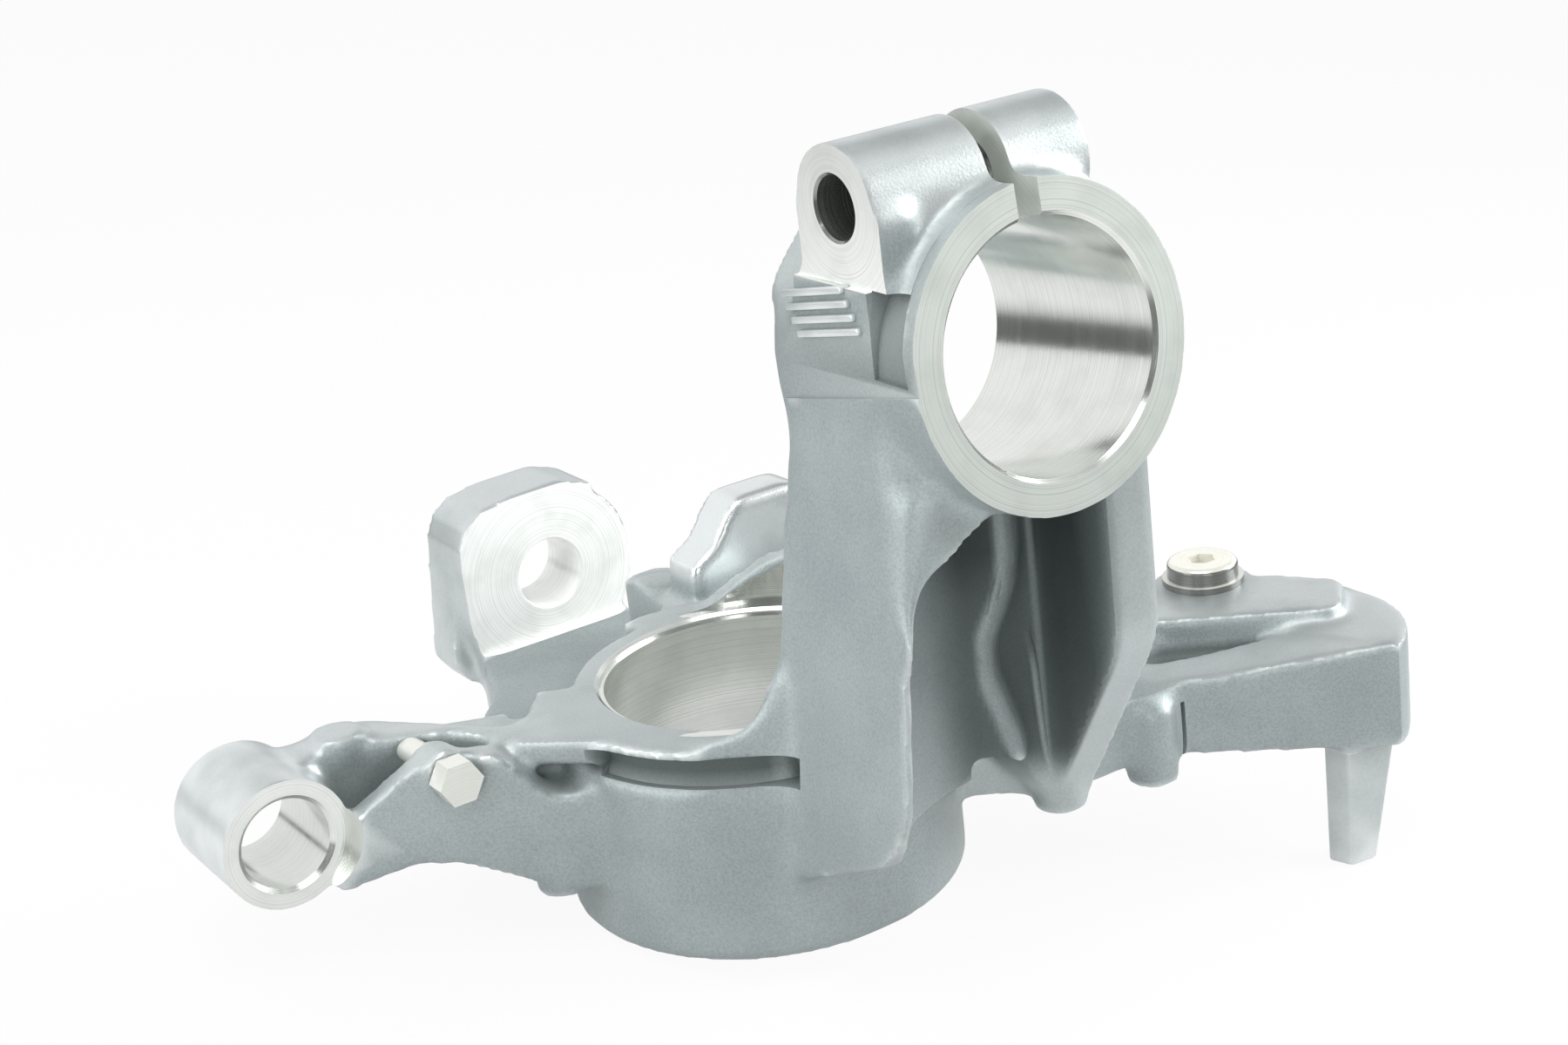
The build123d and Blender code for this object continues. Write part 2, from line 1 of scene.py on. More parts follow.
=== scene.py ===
"""Look of a cast steering knuckle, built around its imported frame.

The casting is grown from the frame's solid as a founder would make it: a rough blank with fillets and
soft edges, then machined faces and bores cut crisp. Lengths are in metres.
"""

import json
import logging
import math
from dataclasses import dataclass, field, replace
from enum import Enum

import bmesh
import bpy
import numpy as np
from mathutils import Matrix, Vector

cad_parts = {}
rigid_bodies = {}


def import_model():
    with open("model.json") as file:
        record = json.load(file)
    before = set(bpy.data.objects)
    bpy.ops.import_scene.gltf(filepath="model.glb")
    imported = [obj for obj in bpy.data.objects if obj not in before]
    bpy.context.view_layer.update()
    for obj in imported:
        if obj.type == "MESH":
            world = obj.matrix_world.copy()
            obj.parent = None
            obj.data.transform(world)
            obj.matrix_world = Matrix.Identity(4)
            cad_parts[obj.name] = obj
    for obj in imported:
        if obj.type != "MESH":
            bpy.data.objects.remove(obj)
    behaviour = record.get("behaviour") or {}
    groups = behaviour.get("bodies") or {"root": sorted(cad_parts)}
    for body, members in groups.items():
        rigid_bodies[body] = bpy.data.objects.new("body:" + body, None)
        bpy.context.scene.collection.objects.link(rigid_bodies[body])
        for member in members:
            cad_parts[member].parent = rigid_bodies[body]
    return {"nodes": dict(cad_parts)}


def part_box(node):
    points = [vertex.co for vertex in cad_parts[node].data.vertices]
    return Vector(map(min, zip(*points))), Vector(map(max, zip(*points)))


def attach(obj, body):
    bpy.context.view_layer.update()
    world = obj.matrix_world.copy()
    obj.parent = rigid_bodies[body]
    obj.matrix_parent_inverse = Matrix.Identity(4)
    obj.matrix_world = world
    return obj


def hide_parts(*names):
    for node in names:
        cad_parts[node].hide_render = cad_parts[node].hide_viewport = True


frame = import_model()

LOG = logging.getLogger("steering_knuckle")
MM = 0.001
ROOT_BODY = "root"

COARSE = 96
ALONG_X = (1.0, 0.0, 0.0)
ALONG_Y = (0.0, 1.0, 0.0)
FRONT_VIEW = Matrix.Rotation(math.pi / 2, 4, "X")
SIDE_VIEW = Matrix(((0, 0, 1, 0), (1, 0, 0, 0), (0, 1, 0, 0), (0, 0, 0, 1)))
WHITE = (1.0, 1.0, 1.0, 1.0)

Piece = bpy.types.Object
Mesh = bpy.types.Mesh
Material = bpy.types.Material
Tree = bpy.types.NodeTree
Shader = bpy.types.Node
Socket = bpy.types.NodeSocket
Colour = tuple[float, float, float, float]
Point = tuple[float, float, float]
Pair = tuple[float, float]
Sockets = list[tuple[str, str]]
Outline = tuple[Pair, ...]


class Slot(Enum):
    """Material slots of the record."""

    CASTING = "casting"


class Node(Enum):
    """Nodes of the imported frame."""

    CASTING = "knuckle_casting"
    WASHER = "pad_washer"
    SCREW = "pad_screw"
    BOLT = "arm_bolt"


class Mark(Enum):
    """What each point of the casting's skin carries for its finish, painted light and painted shade among it.
    """

    # Edges lighter from abrasion and also as a painted highlight.
    WEAR_AND_HIGHLIGHT = "wear_and_highlight"
    # Painted shade in concave corners.
    HOLLOW_SHADE = "hollow_shade"
    # Sheen of ground places, and painted light on tops and on faces that the lamps miss.
    SHEEN_AND_LIGHT = "sheen_and_light"
    # Painted shade in recesses, in the groove and in the column's channel.
    PAINTED_SHADE = "painted_shade"


# --- Small helpers ---------------------------------------------------------------------------------


def deselect_all() -> None:
    """Leave nothing selected, because an operator acts on all that is."""
    for obj in bpy.context.scene.objects:
        obj.select_set(False)


def activate(obj: Piece) -> None:
    """Select one object alone and make it active."""
    deselect_all()
    obj.select_set(True)
    bpy.context.view_layer.objects.active = obj


def apply_modifier(obj: Piece, kind: str, **settings: object) -> None:
    """Add a modifier, set it and apply it.

    Args:
        obj: The object that takes the modifier.
        kind: Blender's name for the modifier type.
        settings: Attributes of the modifier.
    """
    activate(obj)
    modifier = obj.modifiers.new(kind.title(), kind)
    for name, value in settings.items():
        setattr(modifier, name, value)
    bpy.ops.object.modifier_apply(modifier=modifier.name)


def boolean(obj: Piece, tool: Piece, operation: str, **settings: object) -> Piece:
    """Cut, join or limit a solid with another, which is used up.

    Args:
        obj: The solid that changes.
        tool: The other solid.
        operation: Blender's name for what it does.
        settings: More attributes of the modifier.

    Returns:
        The changed solid.
    """
    apply_modifier(obj, "BOOLEAN", operation=operation, object=tool, solver="MANIFOLD", **settings)
    bpy.data.objects.remove(tool)
    return obj


def merge_points(mesh: Mesh, distance: float, face_out: bool = False) -> None:
    """Merge a mesh's doubled points.

    Args:
        mesh: The mesh.
        distance: How near two of them are, in millimetres.
        face_out: Whether its faces are then turned outwards.
    """
    work = bmesh.new()
    work.from_mesh(mesh)
    bmesh.ops.remove_doubles(work, verts=work.verts, dist=distance * MM)
    if face_out:
        bmesh.ops.recalc_face_normals(work, faces=work.faces)
    work.to_mesh(mesh)
    work.free()


def place(obj: Piece, matrix: Matrix) -> Piece:
    """Move an object's mesh by a matrix and leave its origin at zero.

    Args:
        obj: The object.
        matrix: Where its own frame goes in the row's frame.

    Returns:
        The same object.
    """
    obj.data.transform(matrix)
    obj.matrix_world = Matrix.Identity(4)
    obj.data.update()
    return obj


def in_metres(point: Point) -> Point:
    """Turn a place in millimetres into one in metres."""
    return tuple(c * MM for c in point)


def axis_matrix(origin: Point, direction: Point) -> Matrix:
    """Frame at a place in millimetres whose Z runs along a direction."""
    turn = Vector(direction).normalized().to_track_quat("Z", "Y").to_matrix().to_4x4()
    return Matrix.Translation(in_metres(origin)) @ turn


def turned(name: str, steps: list[Pair], segments: int = 160) -> Piece:
    """Model a solid of revolution about Z by extruding and scaling a disc.

    Args:
        name: The object's name.
        steps: (height, radius) pairs from one end to the other, in millimetres.
        segments: Sides of the circle.

    Returns:
        The closed solid.
    """
    deselect_all()
    steps = [in_metres(step) for step in steps]
    height, radius = steps[0]
    bpy.ops.mesh.primitive_circle_add(
        vertices=segments, radius=radius, fill_type="NGON", location=(0, 0, height)
    )
    obj = bpy.context.object
    obj.name = name
    bpy.ops.object.transform_apply(location=True, rotation=True, scale=True)
    bpy.ops.object.mode_set(mode="EDIT")
    bpy.ops.mesh.select_all(action="SELECT")
    for next_height, next_radius in steps[1:]:
        bpy.ops.mesh.extrude_region_move(TRANSFORM_OT_translate={"value": (0, 0, next_height - height)})
        share = next_radius / radius
        bpy.ops.transform.resize(value=(share, share, 1), center_override=(0, 0, 0))
        height, radius = next_height, next_radius
    bpy.ops.mesh.select_all(action="SELECT")
    bpy.ops.mesh.normals_make_consistent(inside=False)
    bpy.ops.object.mode_set(mode="OBJECT")
    return obj


def collar(name: str, outer: list[Pair], inner: list[Pair]) -> Piece:
    """Model one solid of revolution less another, from their steps in millimetres."""
    return boolean(turned(name, outer), turned(name + "_core", inner), "DIFFERENCE")


def drill_steps(start: float, end: float, radius: float, bevel: float, overrun: float = 6.0) -> list[Pair]:
    """Steps of a drill that bevels both mouths of its hole, in millimetres."""
    wide = radius + bevel
    inner = [(start + bevel, radius), (end - bevel, radius)]
    return [(start - overrun, wide), (start, wide), *inner, (end, wide), (end + overrun, wide)]


def block(name: str, low: Point, high: Point) -> Piece:
    """Model a box between two corners.

    Args:
        name: The object's name.
        low: Its lowest corner, in millimetres.
        high: Its highest corner, in millimetres.

    Returns:
        The box.
    """
    deselect_all()
    centre = [(a + b) / 2 * MM for a, b in zip(low, high)]
    size = [(b - a) * MM for a, b in zip(low, high)]
    bpy.ops.mesh.primitive_cube_add(size=1, location=centre)
    obj = bpy.context.object
    obj.name = name
    obj.scale = size
    bpy.ops.object.transform_apply(location=True, rotation=True, scale=True)
    return obj


def prism(name: str, outline: list[Pair] | Outline, low: float, high: float, lean: float = 0) -> Piece:
    """Model a straight-sided solid over an outline in XY.

    Args:
        name: The object's name.
        outline: (x, y) corners in order, in millimetres.
        low: Height of its foot, in millimetres.
        high: Height of its top, in millimetres.
        lean: Travel along X for each unit of height.

    Returns:
        The closed solid.
    """
    deselect_all()
    bpy.ops.mesh.primitive_circle_add(vertices=len(outline), fill_type="NGON")
    obj = bpy.context.object
    obj.name = name
    for vertex, (x, y) in zip(obj.data.vertices, outline):
        vertex.co = (x * MM, y * MM, low * MM)
    rise = (high - low) * MM
    bpy.ops.object.mode_set(mode="EDIT")
    bpy.ops.mesh.select_all(action="SELECT")
    bpy.ops.mesh.extrude_region_move(TRANSFORM_OT_translate={"value": (lean * rise, 0, rise)})
    bpy.ops.mesh.select_all(action="SELECT")
    bpy.ops.mesh.normals_make_consistent(inside=False)
    bpy.ops.object.mode_set(mode="OBJECT")
    return obj


def arc(centre: Pair, radius: float, start: float, end: float, count: int = 24) -> list[Pair]:
    """Points along an arc, its angles in degrees from X."""
    angles = [math.radians(start + (end - start) * k / count) for k in range(count + 1)]
    return [(centre[0] + radius * math.cos(a), centre[1] + radius * math.sin(a)) for a in angles]


def ramped(value: np.ndarray, low: float, high: float) -> np.ndarray:
    """Soft step from 0 at low to 1 at high, either way round."""
    share = np.clip((value - low) / (high - low), 0.0, 1.0)
    return share * share * (3.0 - 2.0 * share)


# --- Points of a mesh as arrays --------------------------------------------------------------------


def read_points(mesh: Mesh) -> np.ndarray:
    """Places of a mesh's points, a row for each."""
    values = np.empty(len(mesh.vertices) * 3, np.float32)
    mesh.vertices.foreach_get("co", values)
    return values.reshape(-1, 3).astype(float)


def read_normals(mesh: Mesh) -> np.ndarray:
    """Normals at a mesh's points, a row for each."""
    values = np.empty(len(mesh.vertices) * 3, np.float32)
    mesh.vertex_normals.foreach_get("vector", values)
    return values.reshape(-1, 3).astype(float)


def read_edges(mesh: Mesh) -> np.ndarray:
    """Numbers of the two points of each edge, a row for each."""
    values = np.empty(len(mesh.edges) * 2, np.int32)
    mesh.edges.foreach_get("vertices", values)
    return values.reshape(-1, 2)


def write_points(mesh: Mesh, points: np.ndarray) -> None:
    """Put points back into their mesh."""
    mesh.vertices.foreach_set("co", points.astype(np.float32).ravel())
    mesh.update()


def neighbour_sum(edges: np.ndarray, values: np.ndarray) -> np.ndarray:
    """Sum of a value over each point's neighbours, column by column."""
    if values.ndim > 1:
        return np.stack([neighbour_sum(edges, column) for column in values.T], axis=1)
    first, second = edges.T
    count = len(values)
    return np.bincount(first, values[second], count) + np.bincount(second, values[first], count)


# --- Shader building -------------------------------------------------------------------------------


@dataclass
class Graph:
    """A node tree being built."""

    tree: Tree

    @property
    def shader(self) -> Shader:
        """The material's own shader."""
        return self.tree.nodes["Principled BSDF"]

    def add(self, kind: str, values: dict[str, object] | None = None, **attributes: object) -> Shader:
        """Add a node.

        Args:
            kind: Blender's node type.
            values: Input values by socket name.
            attributes: Attributes of the node.

        Returns:
            The node.
        """
        node = self.tree.nodes.new(kind)
        for name, value in attributes.items():
            setattr(node, name, value)
        for name, value in (values or {}).items():
            node.inputs[name].default_value = value
        return node

    def link(self, source: Socket, target: Socket) -> None:
        """Join two sockets."""
        self.tree.links.new(source, target)

    def maths(self, operation: str, first: object, second: object, clamp: bool = False) -> Socket:
        """Add a Math node whose inputs are sockets or numbers.

        Args:
            operation: Blender's operation name.
            first: The first input.
            second: The second input.
            clamp: Whether the result stays between 0 and 1.

        Returns:
            The result's socket.
        """
        node = self.add("ShaderNodeMath", operation=operation, use_clamp=clamp)
        for index, value in enumerate((first, second)):
            if isinstance(value, Socket):
                self.link(value, node.inputs[index])
            else:
                node.inputs[index].default_value = value
        return node.outputs[0]

    def mix(self, factor: object, first: object, second: object) -> Socket:
        """Mix two colours.

        Args:
            factor: A socket or a number.
            first: The colour at 0.
            second: The colour at 1.

        Returns:
            The mixed colour's socket.
        """
        node = self.add("ShaderNodeMix", data_type="RGBA")
        colour_a, colour_b = node.inputs[6], node.inputs[7]
        for value, socket in ((factor, node.inputs[0]), (first, colour_a), (second, colour_b)):
            if isinstance(value, Socket):
                self.link(value, socket)
            else:
                socket.default_value = value
        return node.outputs[2]

    def ramp(self, factor: Socket, low: float, high: float) -> Socket:
        """Stretch a value so that low becomes 0 and high becomes 1."""
        node = self.add("ShaderNodeMapRange", {"From Min": low, "From Max": high})
        self.link(factor, node.inputs["Value"])
        return node.outputs["Result"]

    def times(self, first: object, second: object) -> Socket:
        """Multiply two sockets or numbers."""
        return self.maths("MULTIPLY", first, second)

    def facing(self, direction: Socket, way: Point) -> Socket:
        """How nearly a direction runs a given way, from -1 to 1."""
        node = self.add("ShaderNodeVectorMath", operation="DOT_PRODUCT")
        self.link(direction, node.inputs[0])
        node.inputs[1].default_value = Vector(way).normalized()
        return node.outputs["Value"]

    def mirrored(self, path: Shader) -> Socket:
        """Whether a Light Path node's ray comes by a mirror or through glass."""
        return self.maths("MAXIMUM", path.outputs["Is Glossy Ray"], path.outputs["Is Transmission Ray"])

    def noise(self, vector: Socket, scale: float, detail: float, roughness: float = 0.55) -> Socket:
        """Add a noise texture on a vector and return its value."""
        node = self.add("ShaderNodeTexNoise", {"Scale": scale, "Detail": detail, "Roughness": roughness})
        self.link(vector, node.inputs["Vector"])
        return node.outputs[0]


def new_group(name: str, inputs: Sockets, outputs: Sockets) -> tuple[Graph, Shader, Shader]:
    """Start a shader node group.

    Args:
        name: The group's name.
        inputs: (name, socket type) pairs.
        outputs: (name, socket type) pairs.

    Returns:
        The graph with its input and output nodes.
    """
    tree = bpy.data.node_groups.new(name, "ShaderNodeTree")
    for label, kind in inputs:
        tree.interface.new_socket(name=label, in_out="INPUT", socket_type=kind)
    for label, kind in outputs:
        tree.interface.new_socket(name=label, in_out="OUTPUT", socket_type=kind)
    graph = Graph(tree)
    return graph, graph.add("NodeGroupInput"), graph.add("NodeGroupOutput")


FLOAT, COLOUR, VECTOR = "NodeSocketFloat", "NodeSocketColor", "NodeSocketVector"


def cast_skin_group() -> Tree:
    """Shot-blasted casting skin: fine grain, edges lighter from abrasion and a painted highlight, painted
    shade in concave corners and recesses, and ground places with a sheen and painted light.
    """
    graph, given, result = new_group(
        "cast_skin",
        [
            ("Vector", VECTOR), ("Wear_And_Highlight", FLOAT), ("Hollow_Shade", FLOAT), ("Sheen_And_Light", FLOAT), ("Painted_Shade", FLOAT),
            ("Base", COLOUR), ("Shade", COLOUR), ("Worn_And_Highlight", COLOUR), ("Bright", COLOUR), ("Dark", COLOUR),
        ],
        [("Color", COLOUR), ("Roughness", FLOAT), ("Metallic", FLOAT), ("Height", FLOAT)],
    )
    sockets = given.outputs
    vector, sheen_and_light, painted_shade = sockets["Vector"], sockets["Sheen_And_Light"], sockets["Painted_Shade"]
    grain = graph.noise(vector, 2200.0, 3.0, 0.6)
    pits = graph.noise(vector, 1700.0, 4.0, 0.65)
    cloud = graph.noise(vector, 45.0, 3.0, 0.5)
    rubbed_and_highlit = graph.maths("MULTIPLY", sockets["Wear_And_Highlight"], graph.ramp(cloud, 0.20, 0.55), clamp=True)
    toned = sockets["Base"]
    # Cloud and pits give the skin's own mottle. The corner and recess marks darken it as painted shade, the
    # sheen mark lightens it partly as painted light, and the edge mark lightens it as abrasion and a painted
    # highlight.
    for share, layer in (
        (graph.ramp(cloud, 0.35, 0.68), "Shade"),
        (graph.times(graph.ramp(pits, 0.45, 0.75), 0.14), "Worn_And_Highlight"),
        (graph.times(graph.ramp(pits, 0.50, 0.25), 0.18), "Dark"),
        (graph.times(sockets["Hollow_Shade"], 0.45), "Dark"),
        (graph.times(sheen_and_light, graph.ramp(cloud, 0.15, 0.55)), "Bright"),
        (rubbed_and_highlit, "Worn_And_Highlight"),
        (painted_shade, "Dark"),
    ):
        toned = graph.mix(share, toned, sockets[layer])
    graph.link(toned, result.inputs["Color"])
    rough = graph.maths("ADD", graph.times(grain, 0.14), 0.38)
    for way, mask, amount in (("SUBTRACT", rubbed_and_highlit, 0.10), ("SUBTRACT", sheen_and_light, 0.20), ("ADD", painted_shade, 0.20)):
        rough = graph.maths(way, rough, graph.times(mask, amount))
    graph.link(rough, result.inputs["Roughness"])
    metal = graph.maths("ADD", graph.times(sheen_and_light, 0.40), 0.46)
    metal = graph.maths("SUBTRACT", metal, graph.times(painted_shade, 0.35), clamp=True)
    graph.link(metal, result.inputs["Metallic"])
    height = graph.maths("ADD", graph.times(grain, 0.45), graph.times(pits, 0.55))
    level = graph.maths("SUBTRACT", 1.0, graph.times(sheen_and_light, 0.80))
    graph.link(graph.times(height, level), result.inputs["Height"])
    return graph.tree


def turning_group() -> Tree:
    """Fine lines left by a turning tool, as rings on a face and along a bore."""
    graph, given, result = new_group(
        "turning_marks",
        [("Vector", VECTOR), ("Base", COLOUR), ("Line", COLOUR)],
        [("Color", COLOUR), ("Roughness", FLOAT), ("Height", FLOAT)],
    )
    parts = graph.add("ShaderNodeSeparateXYZ")
    graph.link(given.outputs["Vector"], parts.inputs[0])
    square = graph.maths("ADD", *(graph.times(parts.outputs[n], parts.outputs[n]) for n in (0, 1)))
    travel = graph.maths("ADD", graph.maths("SQRT", square, 0.0), parts.outputs[2])
    lines, bands = (
        graph.add("ShaderNodeTexNoise", {"Scale": scale, "Detail": detail}, noise_dimensions="1D")
        for scale, detail in ((2600.0, 3.0), (260.0, 2.0))
    )
    for pattern in (lines, bands):
        graph.link(travel, pattern.inputs["W"])
    smudge = graph.noise(given.outputs["Vector"], 90.0, 3.0)
    tone = given.outputs["Base"]
    for share in (
        graph.times(graph.ramp(lines.outputs[0], 0.42, 0.72), 0.5),
        graph.times(graph.ramp(smudge, 0.45, 0.75), 0.4),
    ):
        tone = graph.mix(share, tone, given.outputs["Line"])
    graph.link(tone, result.inputs["Color"])
    rough = graph.maths("ADD", graph.times(bands.outputs[0], 0.12), 0.12)
    graph.link(rough, result.inputs["Roughness"])
    graph.link(lines.outputs[0], result.inputs["Height"])
    return graph.tree


def group_material(
    name: str, effect: Tree, colours: dict[str, Colour], bump: float, depth: float
) -> tuple[Material, Graph, Shader]:
    """Start a material whose colour, roughness and height a node group gives.

    Args:
        name: The material's name.
        effect: The group.
        colours: The group's colours by input name.
        bump: How strong the relief is.
        depth: How far the relief reaches, in metres.

    Returns:
        The material, its graph and the group's node.
    """
    material = bpy.data.materials.new(name)
    material.use_nodes = True
    graph = Graph(material.node_tree)
    group = graph.add("ShaderNodeGroup", colours, node_tree=effect)
    relief = graph.add("ShaderNodeBump", {"Strength": bump, "Distance": depth})
    graph.link(group.outputs["Height"], relief.inputs["Height"])
    graph.link(relief.outputs["Normal"], graph.shader.inputs["Normal"])
    graph.link(group.outputs["Color"], graph.shader.inputs["Base Color"])
    graph.link(group.outputs["Roughness"], graph.shader.inputs["Roughness"])
    return material, graph, group


@dataclass(frozen=True)
class CastFinish:
    """Shot-blasted grey iron, with painted light and painted shade laid on by the skin's marks."""

    name: str = "shot_blasted_iron"
    base: Colour = (0.335, 0.38, 0.38, 1.0)
    shade: Colour = (0.28, 0.32, 0.325, 1.0)
    # Lighter tone of pits and of abraded edges, the edges also a painted highlight.
    worn_and_highlight: Colour = (0.72, 0.75, 0.75, 1.0)
    # Tone of ground places, and painted light on tops and on faces that the lamps miss.
    bright: Colour = (0.86, 0.89, 0.89, 1.0)
    # Tone of dark pits, and painted shade in concave corners, recesses and the channel.
    dark: Colour = (0.028, 0.042, 0.039, 1.0)
    bump: float = 0.34
    bump_distance: float = 0.00035

    def build(self, skin: Tree) -> Material:
        """Make the material.

        Args:
            skin: The cast skin group.

        Returns:
            The material.
        """
        colours = {name: getattr(self, name.lower()) for name in ("Base", "Shade", "Worn_And_Highlight", "Bright", "Dark")}
        material, graph, group = group_material(self.name, skin, colours, self.bump, self.bump_distance)
        coordinates = graph.add("ShaderNodeTexCoord")
        graph.link(coordinates.outputs["Object"], group.inputs["Vector"])
        for mark in Mark:
            reader = graph.add("ShaderNodeAttribute", attribute_name=mark.value)
            graph.link(reader.outputs["Fac"], group.inputs[mark.value.title()])
        graph.link(group.outputs["Metallic"], graph.shader.inputs["Metallic"])
        return material


@dataclass(frozen=True)
class TurnedFinish:
    """Pale machined iron with tool marks round one axis."""

    name: str
    centre: Point
    turn: Point = (0.0, 0.0, 0.0)
    base: Colour = (0.78, 0.80, 0.77, 1.0)
    line: Colour = (0.56, 0.58, 0.55, 1.0)
    metallic: float = 0.8
    bump: float = 0.12
    bump_distance: float = 0.0001

    def build(self, marks: Tree) -> Material:
        """Make the material.

        Args:
            marks: The turning marks group.

        Returns:
            The material.
        """
        colours = {"Base": self.base, "Line": self.line}
        material, graph, group = group_material(self.name, marks, colours, self.bump, self.bump_distance)
        coordinates = graph.add("ShaderNodeTexCoord")
        values = {"Location": self.centre, "Rotation": self.turn}
        centring = graph.add("ShaderNodeMapping", values, vector_type="TEXTURE")
        graph.link(coordinates.outputs["Object"], centring.inputs["Vector"])
        graph.link(centring.outputs[0], group.inputs["Vector"])
        graph.shader.inputs["Metallic"].default_value = self.metallic
        return material


# --- The casting -----------------------------------------------------------------------------------


@dataclass
class StrutClampSizes:
    """Axis and radii of the strut clamp, in millimetres."""

    face: Point = (22.9, -90.7, 134.6)
    tilt: float = math.radians(6.4)
    length: float = 51.6
    outer_radius: float = 32.4
    step_depth: float = 3.2
    bore_radius: float = 25.0
    bore_bevel: float = 0.8
    relief_radius: float = 28.0
    slot_width: float = 5.5
    slot_offset: float = -0.6
    slot_height: float = 58.0

    @property
    def direction(self) -> Point:
        """Way out of the clamp's near face."""
        return (0.0, -math.cos(self.tilt), math.sin(self.tilt))

    @property
    def matrix(self) -> Matrix:
        """Frame at the near face whose Z points out of it."""
        return axis_matrix(self.face, self.direction)


class Zone:
    """Soft-edged place on the skin that carries a mark."""

    def __init__(self, name: str, strength: float, **limits: tuple[float, ...]) -> None:
        """Describe the place.

        Args:
            name: What the place is called.
            strength: How strong the mark is in its middle.
            limits: By measure, its value where the mark begins and where it is full, and for a band also
                where it is no longer full and where it ends.
        """
        self.name = name
        self.strength = strength
        self.limits = limits

    def mask(self, measures: dict[str, np.ndarray]) -> np.ndarray:
        """Strength of the mark at each point, from the value of each measure there."""
        share = 1.0
        for measure, (begin, full, *rest) in self.limits.items():
            share = share * ramped(measures[measure], begin, full)
            if rest:
                share = share * ramped(measures[measure], rest[1], rest[0])
        return self.strength * share


@dataclass
class Casting:
    """The knuckle: a soft-edged blank that is then machined. Its sizes are in millimetres."""

    clamp: StrutClampSizes = field(default_factory=StrutClampSizes)
    materials: dict[str, Material] = field(default_factory=dict)
    voxel: float = 1.15
    merge_gap: float = 0.004
    stock: float = 1.5
    fillet_rounds: int = 9
    fillet_pace: float = 0.8
    normal_rounds: int = 4
    ease_pace: float = 0.6
    smooth_rounds: int = 3
    keep_share: float = 0.5
    smooth_angle: float = math.radians(35)
    # Pinch boss
    pinch: Point = (0.0, -67.36, 165.28)
    pinch_hole_radius: float = 6.3
    pinch_hole_bevel: float = 0.5
    pinch_left_x: float = -7.5
    pinch_right_x: float = 44.0
    pinch_radius: float = 12.3
    # Bearing housing
    housing_top: float = 50.0
    housing_radius: float = 45.0
    bearing_radius: float = 36.0
    bearing_depth: float = 45.5
    bearing_bevel: float = 1.2
    lip_radius: float = 32.0
    groove_radius: float = 33.1
    rim_radius: float = 33.9
    relief_radius: float = 37.0
    relief_top: float = 125.0
    recess_wall: tuple[Pair, Pair] = ((41.0, 42.6), (44.0, 41.2))
    recess_top: float = 48.0
    recess_tool_radius: float = 49.0
    recess_window: Outline = ((-12, -10), (-14, -70), (-70, -70), (-70, -6))
    # Strut clamp's ring
    ring_tool_radius: float = 41.0
    flank_radius: float = 31.0
    # Steering arm and lower ball joint
    tie_rod: Point = (-105.0, 19.0, 38.0)
    tie_rod_radius: float = 14.5
    tie_rod_length: float = 28.0
    tie_rod_bore: float = 10.0
    ball_joint: Point = (1.7, 93.5, 47.0)
    ball_joint_length: float = 19.5
    ball_joint_bore: float = 9.0
    boss_bevel: float = 1.0
    ball_boss_front: Outline = (
        (-22, 60), (-19.6, 65), (-15, 68.2), (-6, 69.6), (8, 69.9), (17, 67), (17, 40), (-8, 27),
        (-17.5, 27.6), (-21, 32), (-22.6, 40), (-22.9, 54),
    )
    ball_boss_back: Outline = (
        (-21, 60), (-22.8, 54), (-24.6, 40), (-25.9, 28.5), (-22, 23), (-13, 20), (0, 22), (0, 50)
    )
    ball_boss_step: float = 99.0
    # Column: its left wall, the scoop of its channel and the throat above
    wall_x: float = -20.9
    wall_lean: float = 0.095
    wall_edge: float = 1.3
    wall_trim: float = 2.0
    wall_front_y: float = -85.5
    channel_foot: float = 10.0
    channel_top: float = 112.0
    channel_reach: float = 8.0
    scoop_end: Pair = (22.0, -52.0)
    scoop_level: float = 30.0
    scoop_radius: float = 42.0
    wall_foot: Outline = (
        (-97, 60), (-84.4, 57), (-84.2, 52), (-83.2, 47), (-81, 42), (-77.8, 37), (-73.4, 32.4),
        (-67, 28), (-59.1, 23.8), (-48, 19.6), (-48, 4), (-97, 4),
    )
    wall_foot_span: Pair = (-32.0, 30.0)
    foot_core: float = 45.6
    throat_edge: Outline = (
        (-13.6, 76), (-12, 82), (-9.8, 87.5), (-6.6, 92.5), (-2.6, 96.8), (2.2, 100.2), (8, 103), (14, 105.2)
    )
    throat_left: Pair = (-60, 74)
    under_throat: Outline = ((-60, 0), (80, 0), (80, 105.7), (14, 105.7))
    # Caliper arm with its groove, pillar and leg
    arm_end_hub: Pair = (124.4, -38.2)
    arm_end_sweep: float = 29.6
    arm_end_span: Pair = (3.5, 29.2)
    pillar: Point = (83.5, -37.4, 0.0)
    pillar_span: Pair = (4.5, 22.5)
    pillar_radius: float = 6.0
    pillar_crease: Outline = ((89.7, -47), (91.3, -47), (91.1, -38.6), (90.1, -38.6))
    groove_stock: Outline = ((94.0, -28.6), (129.2, -38.4), (139, -50), (100, -46), (86, -36), (84, -30))
    groove_span: Pair = (18.0, 27.3)
    groove_shadow: Outline = ((86.0, -28.0), (124.0, -36.5), (101.0, -15.0))
    leg_top: Outline = ((125.4, -50.0), (126.4, -57.6), (137.0, -62.6), (137.0, -50.0))
    leg_tip: Outline = ((121.6, -54.0), (123.4, -60.2), (130.6, -61.2), (130.6, -53.6))
    leg_span: Pair = (-25.9, 6.0)
    leg_bevel: float = 0.9
